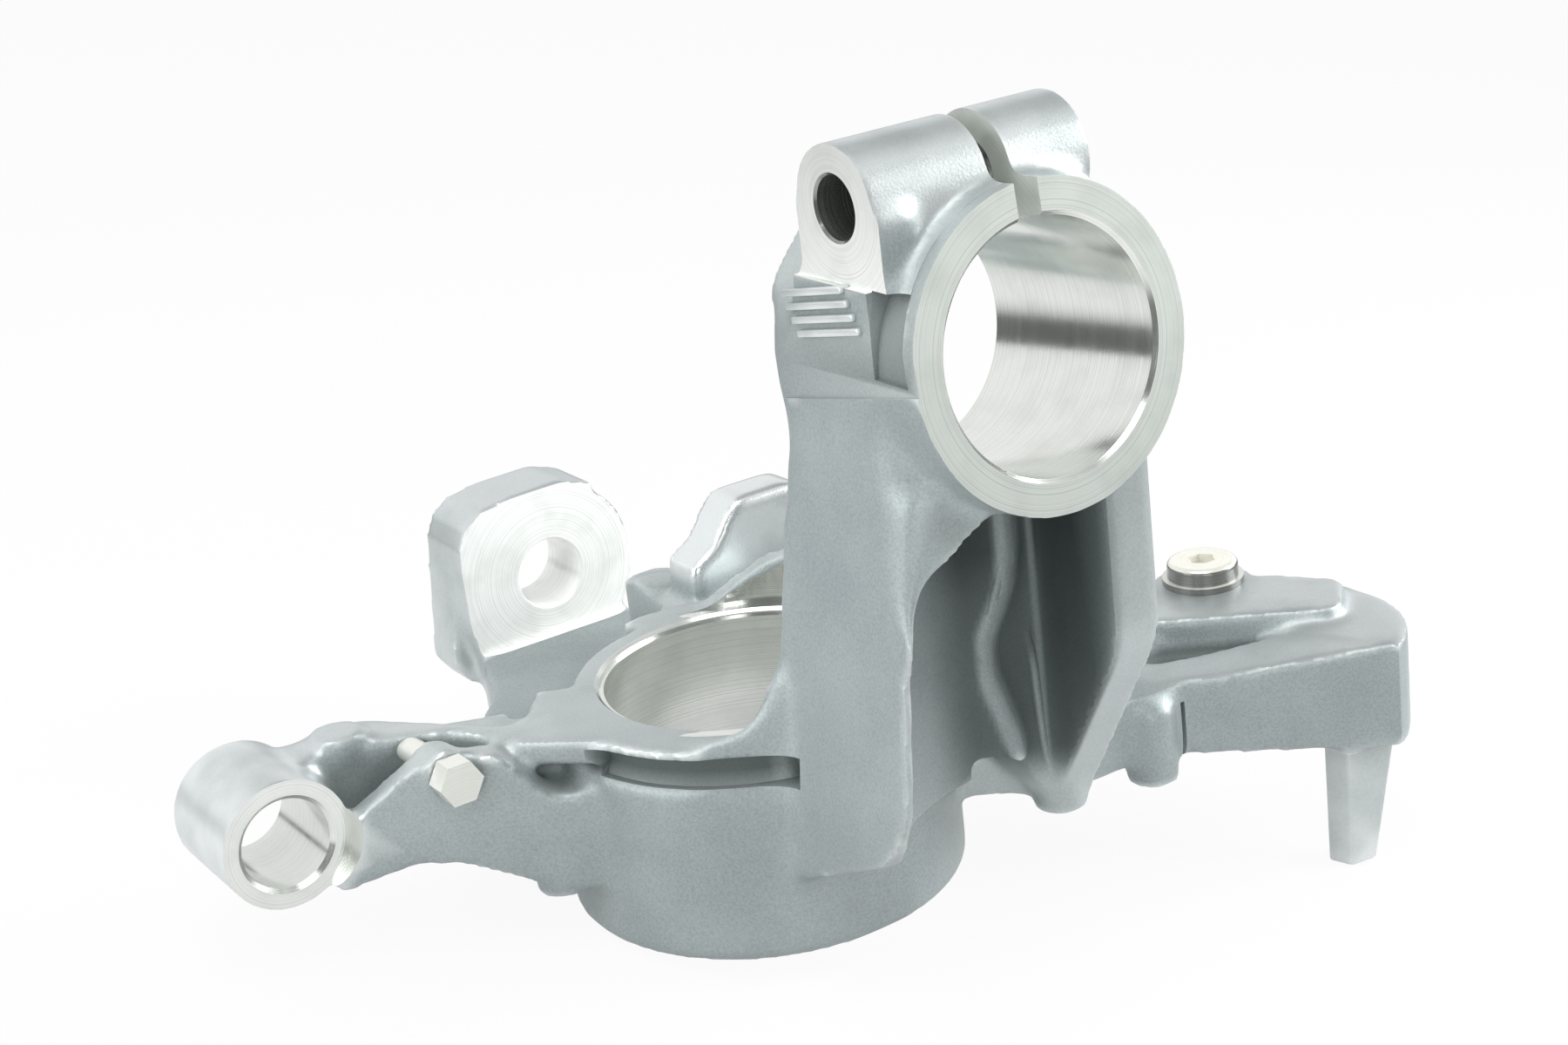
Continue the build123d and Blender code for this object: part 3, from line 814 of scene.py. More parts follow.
    # Plate left of the clamp and its bars
    plate_corner: Point = (-9.5, -44.0, 124.0)
    plate_lean: float = math.radians(-11)
    bar_rises: tuple[float, ...] = (12.2, 14.9, 17.6, 20.3)
    bar_height: float = 1.5
    bar_bevel: float = 0.4
    # Ribs of the web
    wavy_rib: tuple[Point, ...] = (
        (35.5, -52, 106), (35.2, -52, 88), (34.6, -52, 78), (30.4, -52, 68), (27, -52, 62), (28.2, -52, 52),
        (30.6, -52, 40), (33.6, -49.5, 33),
    )
    corner_rib: tuple[Point, ...] = (
        (40.2, -51, 61), (40.4, -52, 53), (40.8, -52, 44), (41.4, -52, 32), (43, -52, 25)
    )
    wavy_rib_radius: float = 1.6
    corner_rib_radius: float = 1.5
    wavy_rib_sink: float = -0.3
    corner_rib_sink: float = 0.2
    # Corners that are melted: centre, reach and rounds
    easings: tuple[tuple[Point, Point, int], ...] = (
        ((-11.0, -86.0, 108.0), (10.0, 11.0, 26.0), 80),
        ((-9.5, -43.0, 128.0), (7.0, 10.0, 34.0), 50),
        ((-28.0, -44.0, 47.0), (14.0, 14.0, 34.0), 60),
    )
    # Places with a finish of their own, and places with painted light or painted shade
    # Sheen of ground places, and painted light: tops, the leg, the lug and the bosses lighter where the lamps
    # fall short.
    sheen_and_light_zones: tuple[Zone, ...] = (
        Zone("pinch boss", 0.46, pinch=(15, 12.8)),
        Zone("clamp barrel", 0.20, clamp=(34.5, 32.8), z=(130, 142)),
        Zone("tie rod boss", 0.66, tie_rod=(17.5, 15)),
        Zone("ball joint boss", 0.44, y=(91, 94)),
        Zone("leg", 0.76, z=(6, -1), x=(110, 115)),
        Zone("lug", 0.76, z=(50, 56), y=(38, 44), x=(12, 16)),
        Zone("top of the caliper arm", 0.44, z=(24, 29), x=(80, 92), upward=(0.55, 0.90)),
        Zone("top of the flange", 0.24, z=(38, 44, 62, 70), upward=(0.55, 0.90)),
        Zone("top of the steering arm", 0.40, x=(-44, -52), upward=(0.55, 0.90)),
        Zone("root of the caliper arm", 0.16, x=(14, 30, 50, 60), y=(-20, -32), z=(32, 26)),
        Zone("right wall", 0.22, x=(42, 44.5, 55, 60), y=(-46, -52), z=(14, 24)),
        Zone("plate bars", 0.40, x=(-9.7, -9.9), z=(128, 130, 152, 154), y=(-54, -57)),
    )
    # Painted shade in the column's channel, darkest in its right half and lighter on the fronts of the ribs.
    channel_shade_zone: Zone = Zone(
        "channel", 1.0, inside=(4, 14), x=(45.5, 44), y=(-84, -68, -40, -36), z=(22, 34, 100, 110)
    )
    channel_shade_floor: float = 0.16
    channel_shade_ceiling: float = 0.98
    channel_shade_depths: tuple[Zone, ...] = (
        Zone("right half", 0.64, x=(8, 25)),
        Zone("under the throat", 0.40, z=(66, 98), x=(-4, 6)),
    )
    rib_shade_relief: Zone = Zone("fronts of the ribs", 0.75, y=(-52.6, -53.4), x=(24, 26, 41.5, 42.5))
    # Painted shade under the flange, in the groove, and on the near faces of the housing, the ring's flank
    # and the plate.
    dull_painted_shade: tuple[Zone, ...] = (
        Zone("near side of the housing", 0.13, z=(62, 30), x=(18, -5), y=(10, -20)),
        Zone("recess under the flange", 0.75, axis=(45, 43.5), z=(40, 42, 47.8, 48.6), angle=(-112, -118)),
        Zone("flank of the ring", 0.22, clamp=(34.5, 33), x=(2, -3), z=(132.5, 134, 150, 155), y=(-74, -78)),
        Zone("plate", 0.08, z=(118, 127), x=(-2, -8)),
        Zone(
            "groove", 0.65, edge_0=(-0.8, 0.8), edge_1=(-0.8, 0.8), edge_2=(-0.8, 0.8), z=(18, 20, 25.2, 26.6)
        ),
    )
    # Edges lighter from abrasion and as a painted highlight, less so on the wall's front edge.
    rubbed_and_highlit: Zone = Zone("rubbed edges", 1.0, bend=(0.07, 0.17))
    wall_edge_highlight_relief: Zone = Zone("front edge of the wall", 0.7, y=(-79, -81), z=(95, 88))
    # Painted shade in concave corners.
    hollow_shade_zone: Zone = Zone("hollow corners", 1.0, bend=(-0.05, -0.18))

    @property
    def plate_frame(self) -> Matrix:
        """Frame at the plate's lower corner that leans with the plate."""
        return Matrix.Translation(Vector(self.plate_corner) * MM) @ Matrix.Rotation(self.plate_lean, 4, "X")

    def dress(self, skin: Tree, marks: Tree) -> None:
        """Make the casting's materials.

        Args:
            skin: The cast skin group.
            marks: The turning marks group.
        """
        quarter = math.pi / 2
        clamp_place = (in_metres(self.clamp.face), (quarter - self.clamp.tilt, 0, 0))
        pinch_place = (in_metres(self.pinch), (0, quarter, 0))
        tie_rod_place = (in_metres(self.tie_rod), (quarter, 0, 0))
        ball_place = (in_metres(self.ball_joint), (quarter, 0, 0))
        pale, dim, line = (0.82, 0.84, 0.81, 1), (0.63, 0.67, 0.63, 1), (0.42, 0.45, 0.42, 1)
        # The ball joint boss is painted lighter than its metal for light that its face misses, and the pinch
        # hole is painted very dark for the shade inside it.
        white, cream, hole_shade_black = (0.97, 0.98, 0.96, 1), (0.88, 0.9, 0.87, 1), (0.16, 0.18, 0.16, 1)
        finishes = [
            TurnedFinish("turned_bearing_bore", (0, 0, 0), metallic=0.92),
            TurnedFinish("turned_strut_bore", *clamp_place, pale, metallic=0.95),
            TurnedFinish("turned_strut_face", *clamp_place, dim, line, metallic=0.40),
            TurnedFinish("shaded_drilled_hole", *pinch_place, hole_shade_black),
            TurnedFinish("turned_tie_rod_boss", *tie_rod_place),
            TurnedFinish("lit_turned_ball_joint_boss", *ball_place, white, metallic=0.1),
            TurnedFinish("milled_pinch_boss", *pinch_place, cream, metallic=0.5),
        ]
        self.materials = {finish.name: finish.build(marks) for finish in finishes}
        self.materials["shot_blasted_iron"] = CastFinish().build(skin)

    def remesh(self, rough: Piece) -> None:
        """Rebuild a solid's skin as even cells."""
        apply_modifier(rough, "REMESH", mode="VOXEL", voxel_size=self.voxel * MM, adaptivity=0.0)

    def blank(self) -> Piece:
        """Grow the rough casting from the frame's solid.

        Returns:
            The blank, with stock on every machined face and its bores closed.
        """
        source = frame["nodes"][Node.CASTING.value]
        rough = bpy.data.objects.new("knuckle_body", source.data.copy())
        bpy.context.scene.collection.objects.link(rough)
        rough.data.materials.clear()
        merge_points(rough.data, self.merge_gap)
        self.remesh(rough)
        boolean(rough, self.channel(), "DIFFERENCE")
        stock = self.stock_pieces()
        activate(rough)
        for piece in stock:
            piece.select_set(True)
        bpy.ops.object.join()
        self.remesh(rough)
        self.fill_corners(rough)
        self.ease(rough)
        apply_modifier(rough, "SMOOTH", factor=0.5, iterations=self.smooth_rounds)
        apply_modifier(rough, "DECIMATE", ratio=self.keep_share)
        rough.data.materials.clear()
        rough.data.materials.append(self.materials["shot_blasted_iron"])
        return rough

    def stock_pieces(self) -> list[Piece]:
        """Solids that close the bores and stand proud of the faces still to be machined."""
        extra, clamp, pieces = self.stock, self.clamp, []
        tie_rod, ball_joint = axis_matrix(self.tie_rod, ALONG_Y), axis_matrix(self.ball_joint, ALONG_Y)

        def disc(name: str, matrix: Matrix, low: float, high: float, radius: float) -> None:
            """Keep one round piece."""
            pieces.append(place(turned(name, [(low, radius), (high, radius)], COARSE), matrix))

        disc("clamp_plug", clamp.matrix, -clamp.length, extra, clamp.outer_radius)
        disc("bearing_plug", Matrix.Identity(4), -0.5, self.housing_top, self.relief_radius - 0.5)
        disc("tie_rod_plug", tie_rod, -extra, self.tie_rod_length + extra, self.tie_rod_radius)
        boss_end = self.ball_joint_length - 0.5
        disc("ball_joint_plug", ball_joint, 0.5, boss_end, self.ball_joint_bore + 1)
        left, right = self.pinch_left_x - extra, self.pinch_right_x + extra
        disc("pinch_plug", axis_matrix(self.pinch, ALONG_X), left, right, self.pinch_radius)
        x, y, z = self.pinch
        pieces.append(block("pinch_foot_stock", (left, y - 14, z - 16), (x, y + 13, z)))
        hub = self.arm_end_hub
        outline = [hub] + arc(hub, self.arm_end_sweep, -68, 8)
        pieces.append(prism("arm_end_stock", outline, *self.arm_end_span))
        near = self.ball_joint[1]
        far = near + self.ball_joint_length
        top = self.channel_top
        for name, outline, low, high in (
            ("throat_stock", (*self.throat_edge, (14, top), (-10, top)), 60.0, -self.wall_front_y),
            ("ball_boss_front", self.ball_boss_front, -far, -near),
            ("ball_boss_back", self.ball_boss_back, 0.5 - far, -self.ball_boss_step),
        ):
            pieces.append(place(prism(name, outline, low, high), FRONT_VIEW))
        pillar = Matrix.Translation(Vector(self.pillar) * MM)
        disc("pillar_stock", pillar, *self.pillar_span, self.pillar_radius)
        pieces.append(prism("groove_stock", self.groove_stock, *self.groove_span))
        return pieces

    def channel(self) -> Piece:
        """Open space of the column: before its scoop, under its throat and round the foot of its wall.

        Returns:
            The space as a solid.
        """
        low, front = self.channel_foot, self.wall_front_y - self.channel_reach
        start = (self.wall_x + self.wall_lean * low + self.wall_edge, self.wall_front_y)
        end = (self.scoop_end[0] + self.wall_lean * (low - self.scoop_level), self.scoop_end[1])
        chord = Vector(end) - Vector(start)
        middle = (Vector(end) + Vector(start)) / 2
        reach = math.sqrt(self.scoop_radius**2 - (chord.length / 2) ** 2)
        centre = middle + Vector((chord.y, -chord.x)).normalized() * reach
        angles = (math.degrees(math.atan2(p[1] - centre.y, p[0] - centre.x)) % 360 for p in (start, end))
        outline = arc(tuple(centre), self.scoop_radius, *angles) + [(end[0], front), (start[0], front)]
        space = prism("channel_space", outline, low, self.channel_top, self.wall_lean)
        outline = (*self.under_throat, *self.throat_edge[::-1], self.throat_left)
        throat = prism("under_throat", outline, 40.0, 110.0)
        boolean(space, place(throat, FRONT_VIEW), "INTERSECT")
        trim = block("wall_front_trim", (-30, front, 8), (-8, self.wall_front_y + self.wall_trim, 92))
        boolean(space, trim, "UNION")
        foot = place(prism("wall_foot", self.wall_foot, *self.wall_foot_span), SIDE_VIEW)
        core = turned("housing_core", [(-5, self.foot_core), (70, self.foot_core)], COARSE)
        return boolean(space, boolean(foot, core, "DIFFERENCE"), "UNION")

    def ease(self, rough: Piece) -> None:
        """Melt hard corners where the casting flows from one wall to the next.

        Args:
            rough: The remeshed blank.
        """
        points, edges = read_points(rough.data), read_edges(rough.data)
        for centre, reach, rounds in self.easings:
            away = np.sqrt((((points / MM - np.array(centre)) / np.array(reach)) ** 2).sum(1))
            weight = ramped(away, 1.0, 0.55)
            near = weight > 0
            local = edges[near[edges[:, 0]] & near[edges[:, 1]]]
            degree = np.maximum(np.bincount(local.ravel(), minlength=len(points)), 1)[:, None]
            for _ in range(rounds):
                step = neighbour_sum(local, points) / degree - points
                points += step * (self.ease_pace * weight)[:, None]
        write_points(rough.data, points)

    def fill_corners(self, rough: Piece) -> None:
        """Round the concave corners outwards and leave the outer edges as they are.

        Args:
            rough: The remeshed blank.
        """
        points, edges = read_points(rough.data), read_edges(rough.data)
        degree = np.bincount(edges.ravel(), minlength=len(points))[:, None]
        for turn in range(self.fillet_rounds):
            if turn % self.normal_rounds == 0:
                write_points(rough.data, points)
                outward = read_normals(rough.data)
            lift = ((neighbour_sum(edges, points) / degree - points) * outward).sum(1)
            points += outward * (np.clip(lift, 0, None) * self.fillet_pace)[:, None]
        write_points(rough.data, points)

    def bearing_steps(self) -> list[Pair]:
        """Steps of the bearing bore's tool, with the lip and the snap ring groove behind it."""
        bevel, bore, lip = self.bearing_bevel, self.bearing_radius, self.lip_radius
        groove, rim = self.groove_radius, self.rim_radius
        mouth, depth, top, relief = bore + bevel, self.bearing_depth, self.housing_top, self.relief_radius
        return [
            (-8, mouth), (0, mouth), (bevel, bore), (depth, bore), (depth, lip), (top - 1.5, lip),
            (top - 1.5, groove), (top - 0.7, groove), (top, rim), (top, relief),
            (self.relief_top, relief),
        ]

    def cutters(self) -> list[tuple[Piece, str]]:
        """Tools that machine the blank, each with the finish that it leaves.

        Returns:
            (tool, material name) pairs.
        """
        clamp, far, tools = self.clamp, -self.clamp.length, []

        def lathe(name: str, matrix: Matrix, finish: str, steps: list[Pair]) -> None:
            """Keep one turned tool."""
            tools.append((place(turned(name, steps), matrix), finish))

        upright, tie_rod = Matrix.Identity(4), axis_matrix(self.tie_rod, ALONG_Y)
        lathe("bearing_tool", upright, "turned_bearing_bore", self.bearing_steps())
        wide = self.housing_radius + 3
        lathe("outboard_facing_tool", upright, "turned_bearing_bore", [(-6, wide), (0, wide)])
        relief = [(far - 8, clamp.relief_radius), (far, clamp.relief_radius)]
        bore = drill_steps(far, 0, clamp.bore_radius, clamp.bore_bevel, 8)[1:]
        lathe("strut_bore_tool", clamp.matrix, "turned_strut_bore", relief + bore)
        wide = clamp.outer_radius + 4
        lathe("clamp_facing_tool", clamp.matrix, "turned_strut_face", [(0, wide), (7, wide)])
        finish, length, wide = "turned_tie_rod_boss", self.tie_rod_length, self.tie_rod_radius + 0.6
        hole = drill_steps(0, length, self.tie_rod_bore, self.boss_bevel)
        lathe("tie_rod_bore_tool", tie_rod, finish, hole)
        lathe("tie_rod_near_facing_tool", tie_rod, finish, [(-6, wide), (0, wide)])
        lathe("tie_rod_far_facing_tool", tie_rod, finish, [(length, wide), (length + 6, wide)])
        hole = drill_steps(0, self.ball_joint_length, self.ball_joint_bore, self.boss_bevel)
        lathe("ball_joint_bore_tool", axis_matrix(self.ball_joint, ALONG_Y), "lit_turned_ball_joint_boss", hole)
        left, right = self.pinch_left_x, self.pinch_right_x
        hole = drill_steps(left, right, self.pinch_hole_radius, self.pinch_hole_bevel)
        lathe("pinch_hole_tool", axis_matrix(self.pinch, ALONG_X), "shaded_drilled_hole", hole)
        _, y, z = self.pinch
        left_mill = block("pinch_left_mill", (left - 8, y - 17, z - 14.6), (left, y + 19, z + 16))
        right_mill = block("pinch_right_mill", (right, y - 14, z - 12), (right + 8, y + 14, z + 16))
        x, y, z = self.ball_joint
        boss_mill = block("ball_joint_mill", (x - 27, y - 7, z - 15.6), (x + 27, y + 0.7, z + 24))
        tools.append((left_mill, "milled_pinch_boss"))
        tools.append((boss_mill, "lit_turned_ball_joint_boss"))
        tools.append((right_mill, "milled_pinch_boss"))
        low, high = clamp.slot_offset - clamp.slot_width / 2, clamp.slot_offset + clamp.slot_width / 2
        slot = block("clamp_slot_saw", (low, 0, far - 8), (high, clamp.slot_height, 8))
        tools.append((self.stand_slot(slot), "turned_strut_face"))
        tools += [(tool, "shot_blasted_iron") for tool in self.skin_tools()]
        return tools

    def skin_tools(self) -> list[Piece]:
        """Tools for detail of the cast skin itself, such as the ring's step and the flange's recess."""
        clamp, step, wide = self.clamp, -self.clamp.step_depth, self.ring_tool_radius
        ring, inner = clamp.outer_radius, self.flank_radius
        around = collar("ring_step_tool", [(step, wide), (2, wide)], [(-4, ring), (3, ring)])
        flank = collar("ring_flank_tool", [(-15, wide), (step, wide)], [(-16, inner), (-2, inner)])
        flank = place(flank, clamp.matrix)
        (low, foot), (bend, waist) = self.recess_wall
        wide, high = self.recess_tool_radius, self.recess_top
        steps = [(low - 1, foot), (bend, waist), (high + 1, waist)]
        recess = collar("flange_recess_tool", [(low, wide), (high, wide)], steps)
        window = prism("recess_window", self.recess_window, low - 1, high + 2)
        return [
            place(around, clamp.matrix),
            boolean(flank, block("flank_window", (-14, -92, 134), (0, -77, 151)), "INTERSECT"),
            boolean(recess, window, "INTERSECT"),
            block("old_leg", (114.0, -70.0, -28.0), (150.0, -44.0, 2.4)),
            prism("pillar_crease", self.pillar_crease, 1.0, 22.5),
            place(block("parting_step", (-3, -50, 0), (0.55, 6, 24.5)), self.plate_frame),
        ]

    def stand_slot(self, slot: Piece) -> Piece:
        """Turn the slot's saw so that it runs up from the clamp's axis."""
        tilt = self.clamp.tilt
        out, up = Vector(self.clamp.direction), Vector((0.0, math.sin(tilt), math.cos(tilt)))
        turn = Matrix((Vector(ALONG_X), up, out)).transposed().to_4x4()
        return place(slot, Matrix.Translation(Vector(self.clamp.face) * MM) @ turn)

    def machine(self, rough: Piece) -> None:
        """Cut the bores, faces and slot.

        Args:
            rough: The blank, which keeps its place and name.
        """
        for tool, finish in self.cutters():
            name = tool.name
            tool.data.materials.clear()
            tool.data.materials.append(self.materials[finish])
            if finish not in rough.data.materials:
                rough.data.materials.append(self.materials[finish])
            boolean(rough, tool, "DIFFERENCE", material_mode="TRANSFER")
            LOG.info("cut with %s: %d faces", name, len(rough.data.polygons))

    def leg(self) -> Piece:
        """Model the tapered leg under the caliper arm."""
        leg = prism("leg", self.leg_tip, *self.leg_span)
        for vertex, (x, y) in zip(leg.data.vertices[len(self.leg_tip) :], self.leg_top):
            vertex.co.x, vertex.co.y = x * MM, y * MM
        apply_modifier(leg, "BEVEL", width=self.leg_bevel * MM, segments=3, limit_method="ANGLE")
        return leg

    def rib(self, name: str, points: tuple[Point, ...], radius: float, sink: float) -> Piece:
        """Model a round rib along a smooth line.

        Args:
            name: The rib's name.
            points: Control points of its line.
            radius: Its radius.
            sink: How far it is moved along Y.

        Returns:
            The rib as a closed solid.
        """
        curve = bpy.data.curves.new(name, "CURVE")
        curve.dimensions, curve.bevel_depth, curve.bevel_resolution = "3D", radius * MM, 5
        curve.use_fill_caps, curve.resolution_u = True, 10
        line = curve.splines.new("NURBS")
        line.points.add(len(points) - 1)
        for knot, (x, y, z) in zip(line.points, points):
            knot.co = (x * MM, (y + sink) * MM, z * MM, 1)
        line.order_u, line.use_endpoint_u = 3, True
        mesh = bpy.data.meshes.new_from_object(bpy.data.objects.new(name, curve))
        merge_points(mesh, 0.01, face_out=True)
        rib = bpy.data.objects.new(name, mesh)
        bpy.context.scene.collection.objects.link(rib)
        return rib

    def weld(self, rough: Piece) -> None:
        """Join the leg, the plate's bars and the crisp ribs of the column's web.

        Args:
            rough: The machined casting.
        """
        pieces = [self.leg()]
        for row, rise in enumerate(self.bar_rises):
            top = rise + self.bar_height
            bar = block(f"plate_bar_{row}", (-0.55, -33.5 + row, rise), (2.0, -12.0 + row, top))
            apply_modifier(bar, "BEVEL", width=self.bar_bevel * MM, segments=2)
            pieces.append(place(bar, self.plate_frame))
        pieces.append(self.rib("wavy_rib", self.wavy_rib, self.wavy_rib_radius, self.wavy_rib_sink))
        pieces.append(self.rib("corner_rib", self.corner_rib, self.corner_rib_radius, self.corner_rib_sink))
        for piece in pieces:
            name = piece.name
            piece.data.materials.append(self.materials["shot_blasted_iron"])
            boolean(rough, piece, "UNION", material_mode="TRANSFER")
            LOG.info("welded %s: %d faces", name, len(rough.data.polygons))

    def measures(self, mesh: Mesh) -> dict[str, np.ndarray]:
        """What the finish zones are limited by, at each point of the skin.

        Args:
            mesh: The machined casting's mesh.

        Returns:
            Places, distances and bends by name, in millimetres and degrees.
        """
        points, normal, edges = read_points(mesh) / MM, read_normals(mesh), read_edges(mesh)
        x, y, z = points.T
        first, second = edges.T
        step = points[second] - points[first]
        step /= np.maximum(np.linalg.norm(step, axis=1), 1e-6)[:, None]
        degree = np.maximum(np.bincount(edges.ravel(), minlength=len(points)), 1)
        bend = np.bincount(first, -(normal[first] * step).sum(1), len(points))
        bend += np.bincount(second, (normal[second] * step).sum(1), len(points))
        bend /= degree
        for _ in range(6):
            bend = 0.5 * bend + 0.5 * neighbour_sum(edges, bend) / degree
        clamp_axis = np.array(Vector(self.clamp.direction))
        offset = points - np.array(self.clamp.face)
        along = offset @ clamp_axis
        measures = {
            "x": x,
            "y": y,
            "z": z,
            "bend": bend,
            "upward": normal[:, 2],
            "inside": x - (self.wall_x + self.wall_lean * z),
            "pinch": np.hypot(y - self.pinch[1], z - self.pinch[2]),
            "clamp": np.linalg.norm(offset - along[:, None] * clamp_axis, axis=1),
            "tie_rod": np.hypot(x - self.tie_rod[0], z - self.tie_rod[2]),
            "axis": np.hypot(x, y),
            "angle": np.degrees(np.arctan2(y, x)),
        }
        corners = self.groove_shadow
        for number, ((ax, ay), (bx, by)) in enumerate(zip(corners, corners[1:] + corners[:1])):
            across = ((bx - ax) * (y - ay) - (by - ay) * (x - ax)) / math.hypot(bx - ax, by - ay)
            measures[f"edge_{number}"] = across
        return measures

    def mark(self, piece: Piece) -> None:
        """Write on the skin where its edges are abraded and given a painted highlight, where painted shade
        falls in its corners and recesses, and where it is ground to a sheen or given painted light.

        Args:
            piece: The machined casting.
        """
        at = self.measures(piece.data)
        # Painted shade in the column's channel, lighter on the fronts of the ribs.
        channel = self.channel_shade_floor + sum(zone.mask(at) for zone in self.channel_shade_depths)
        channel = np.clip(channel, 0.0, self.channel_shade_ceiling) * self.channel_shade_zone.mask(at)
        channel *= 1.0 - self.rib_shade_relief.mask(at)
        values = {
            Mark.WEAR_AND_HIGHLIGHT: self.rubbed_and_highlit.mask(at) * (1.0 - self.wall_edge_highlight_relief.mask(at)),
            Mark.HOLLOW_SHADE: self.hollow_shade_zone.mask(at),
            Mark.SHEEN_AND_LIGHT: np.maximum.reduce([zone.mask(at) for zone in self.sheen_and_light_zones]),
            Mark.PAINTED_SHADE: np.maximum.reduce([channel] + [zone.mask(at) for zone in self.dull_painted_shade]),
        }
        for mark, value in values.items():
            attribute = piece.data.attributes.new(mark.value, "FLOAT", "POINT")
            attribute.data.foreach_set("value", value.astype(np.float32))

    def build(self) -> Piece:
        """Make the finished casting.

        Returns:
            The piece that stands for the frame's casting.
        """
        rough = self.blank()
        self.machine(rough)
        self.weld(rough)
        self.mark(rough)
        activate(rough)
        bpy.ops.object.shade_smooth_by_angle(angle=self.smooth_angle)
        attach(rough, ROOT_BODY)
        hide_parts(Node.CASTING.value)
        return rough


# --- Fasteners -------------------------------------------------------------------------------------


@dataclass
class Fasteners:
    """Screw, washer and hex bolt of the frame, with a zinc finish, the sides of the screw and washer darker
    as painted shade.
    """

    bright: Colour = (0.76, 0.755, 0.68, 1.0)
    plain: Colour = (0.68, 0.69, 0.65, 1.0)
    # Painted shade on the sides of the screw and washer.
    dull_painted_shade: Colour = (0.17, 0.175, 0.165, 1.0)
    shadow: Colour = (0.09, 0.095, 0.09, 1.0)
    line: Colour = (0.58, 0.58, 0.53, 1.0)
    metallic: float = 0.35
    side_metallic: float = 0.3
    recess_reach: float = 6.5

    def build(self, marks: Tree) -> None:
        """Give each fastener its finish.

        Args:
            marks: The turning marks group.
        """
        for node, base in ((Node.WASHER, self.plain), (Node.SCREW, self.bright), (Node.BOLT, self.plain)):
            low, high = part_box(node.value)
            centre = (low + high) / 2
            obj = frame["nodes"][node.value]
            obj.data.materials.clear()
            finish = TurnedFinish(
                "zinc_" + node.value, tuple(centre), base=base, line=self.line, metallic=self.metallic
            )
            obj.data.materials.append(finish.build(marks))
            if node is Node.BOLT:
                continue
            # The screw's and washer's sides take a darker copy of the zinc finish as painted shade.
            name = "side_" + node.value
            side = replace(finish, name=name, base=self.dull_painted_shade, line=self.shadow, metallic=self.side_metallic)
            obj.data.materials.append(side.build(marks))
            for face in obj.data.polygons:
                away = (face.center - centre).xy.length
                face.material_index = int(abs(face.normal.z) < 0.5 and away > self.recess_reach * MM)


# --- Studio ----------------------------------------------------------------------------------------


@dataclass(frozen=True)
class Lamp:
    """Square soft light: where it hangs and its side in metres, and its power in watts."""

    name: str
    spot: Point
    size: float
    power: float


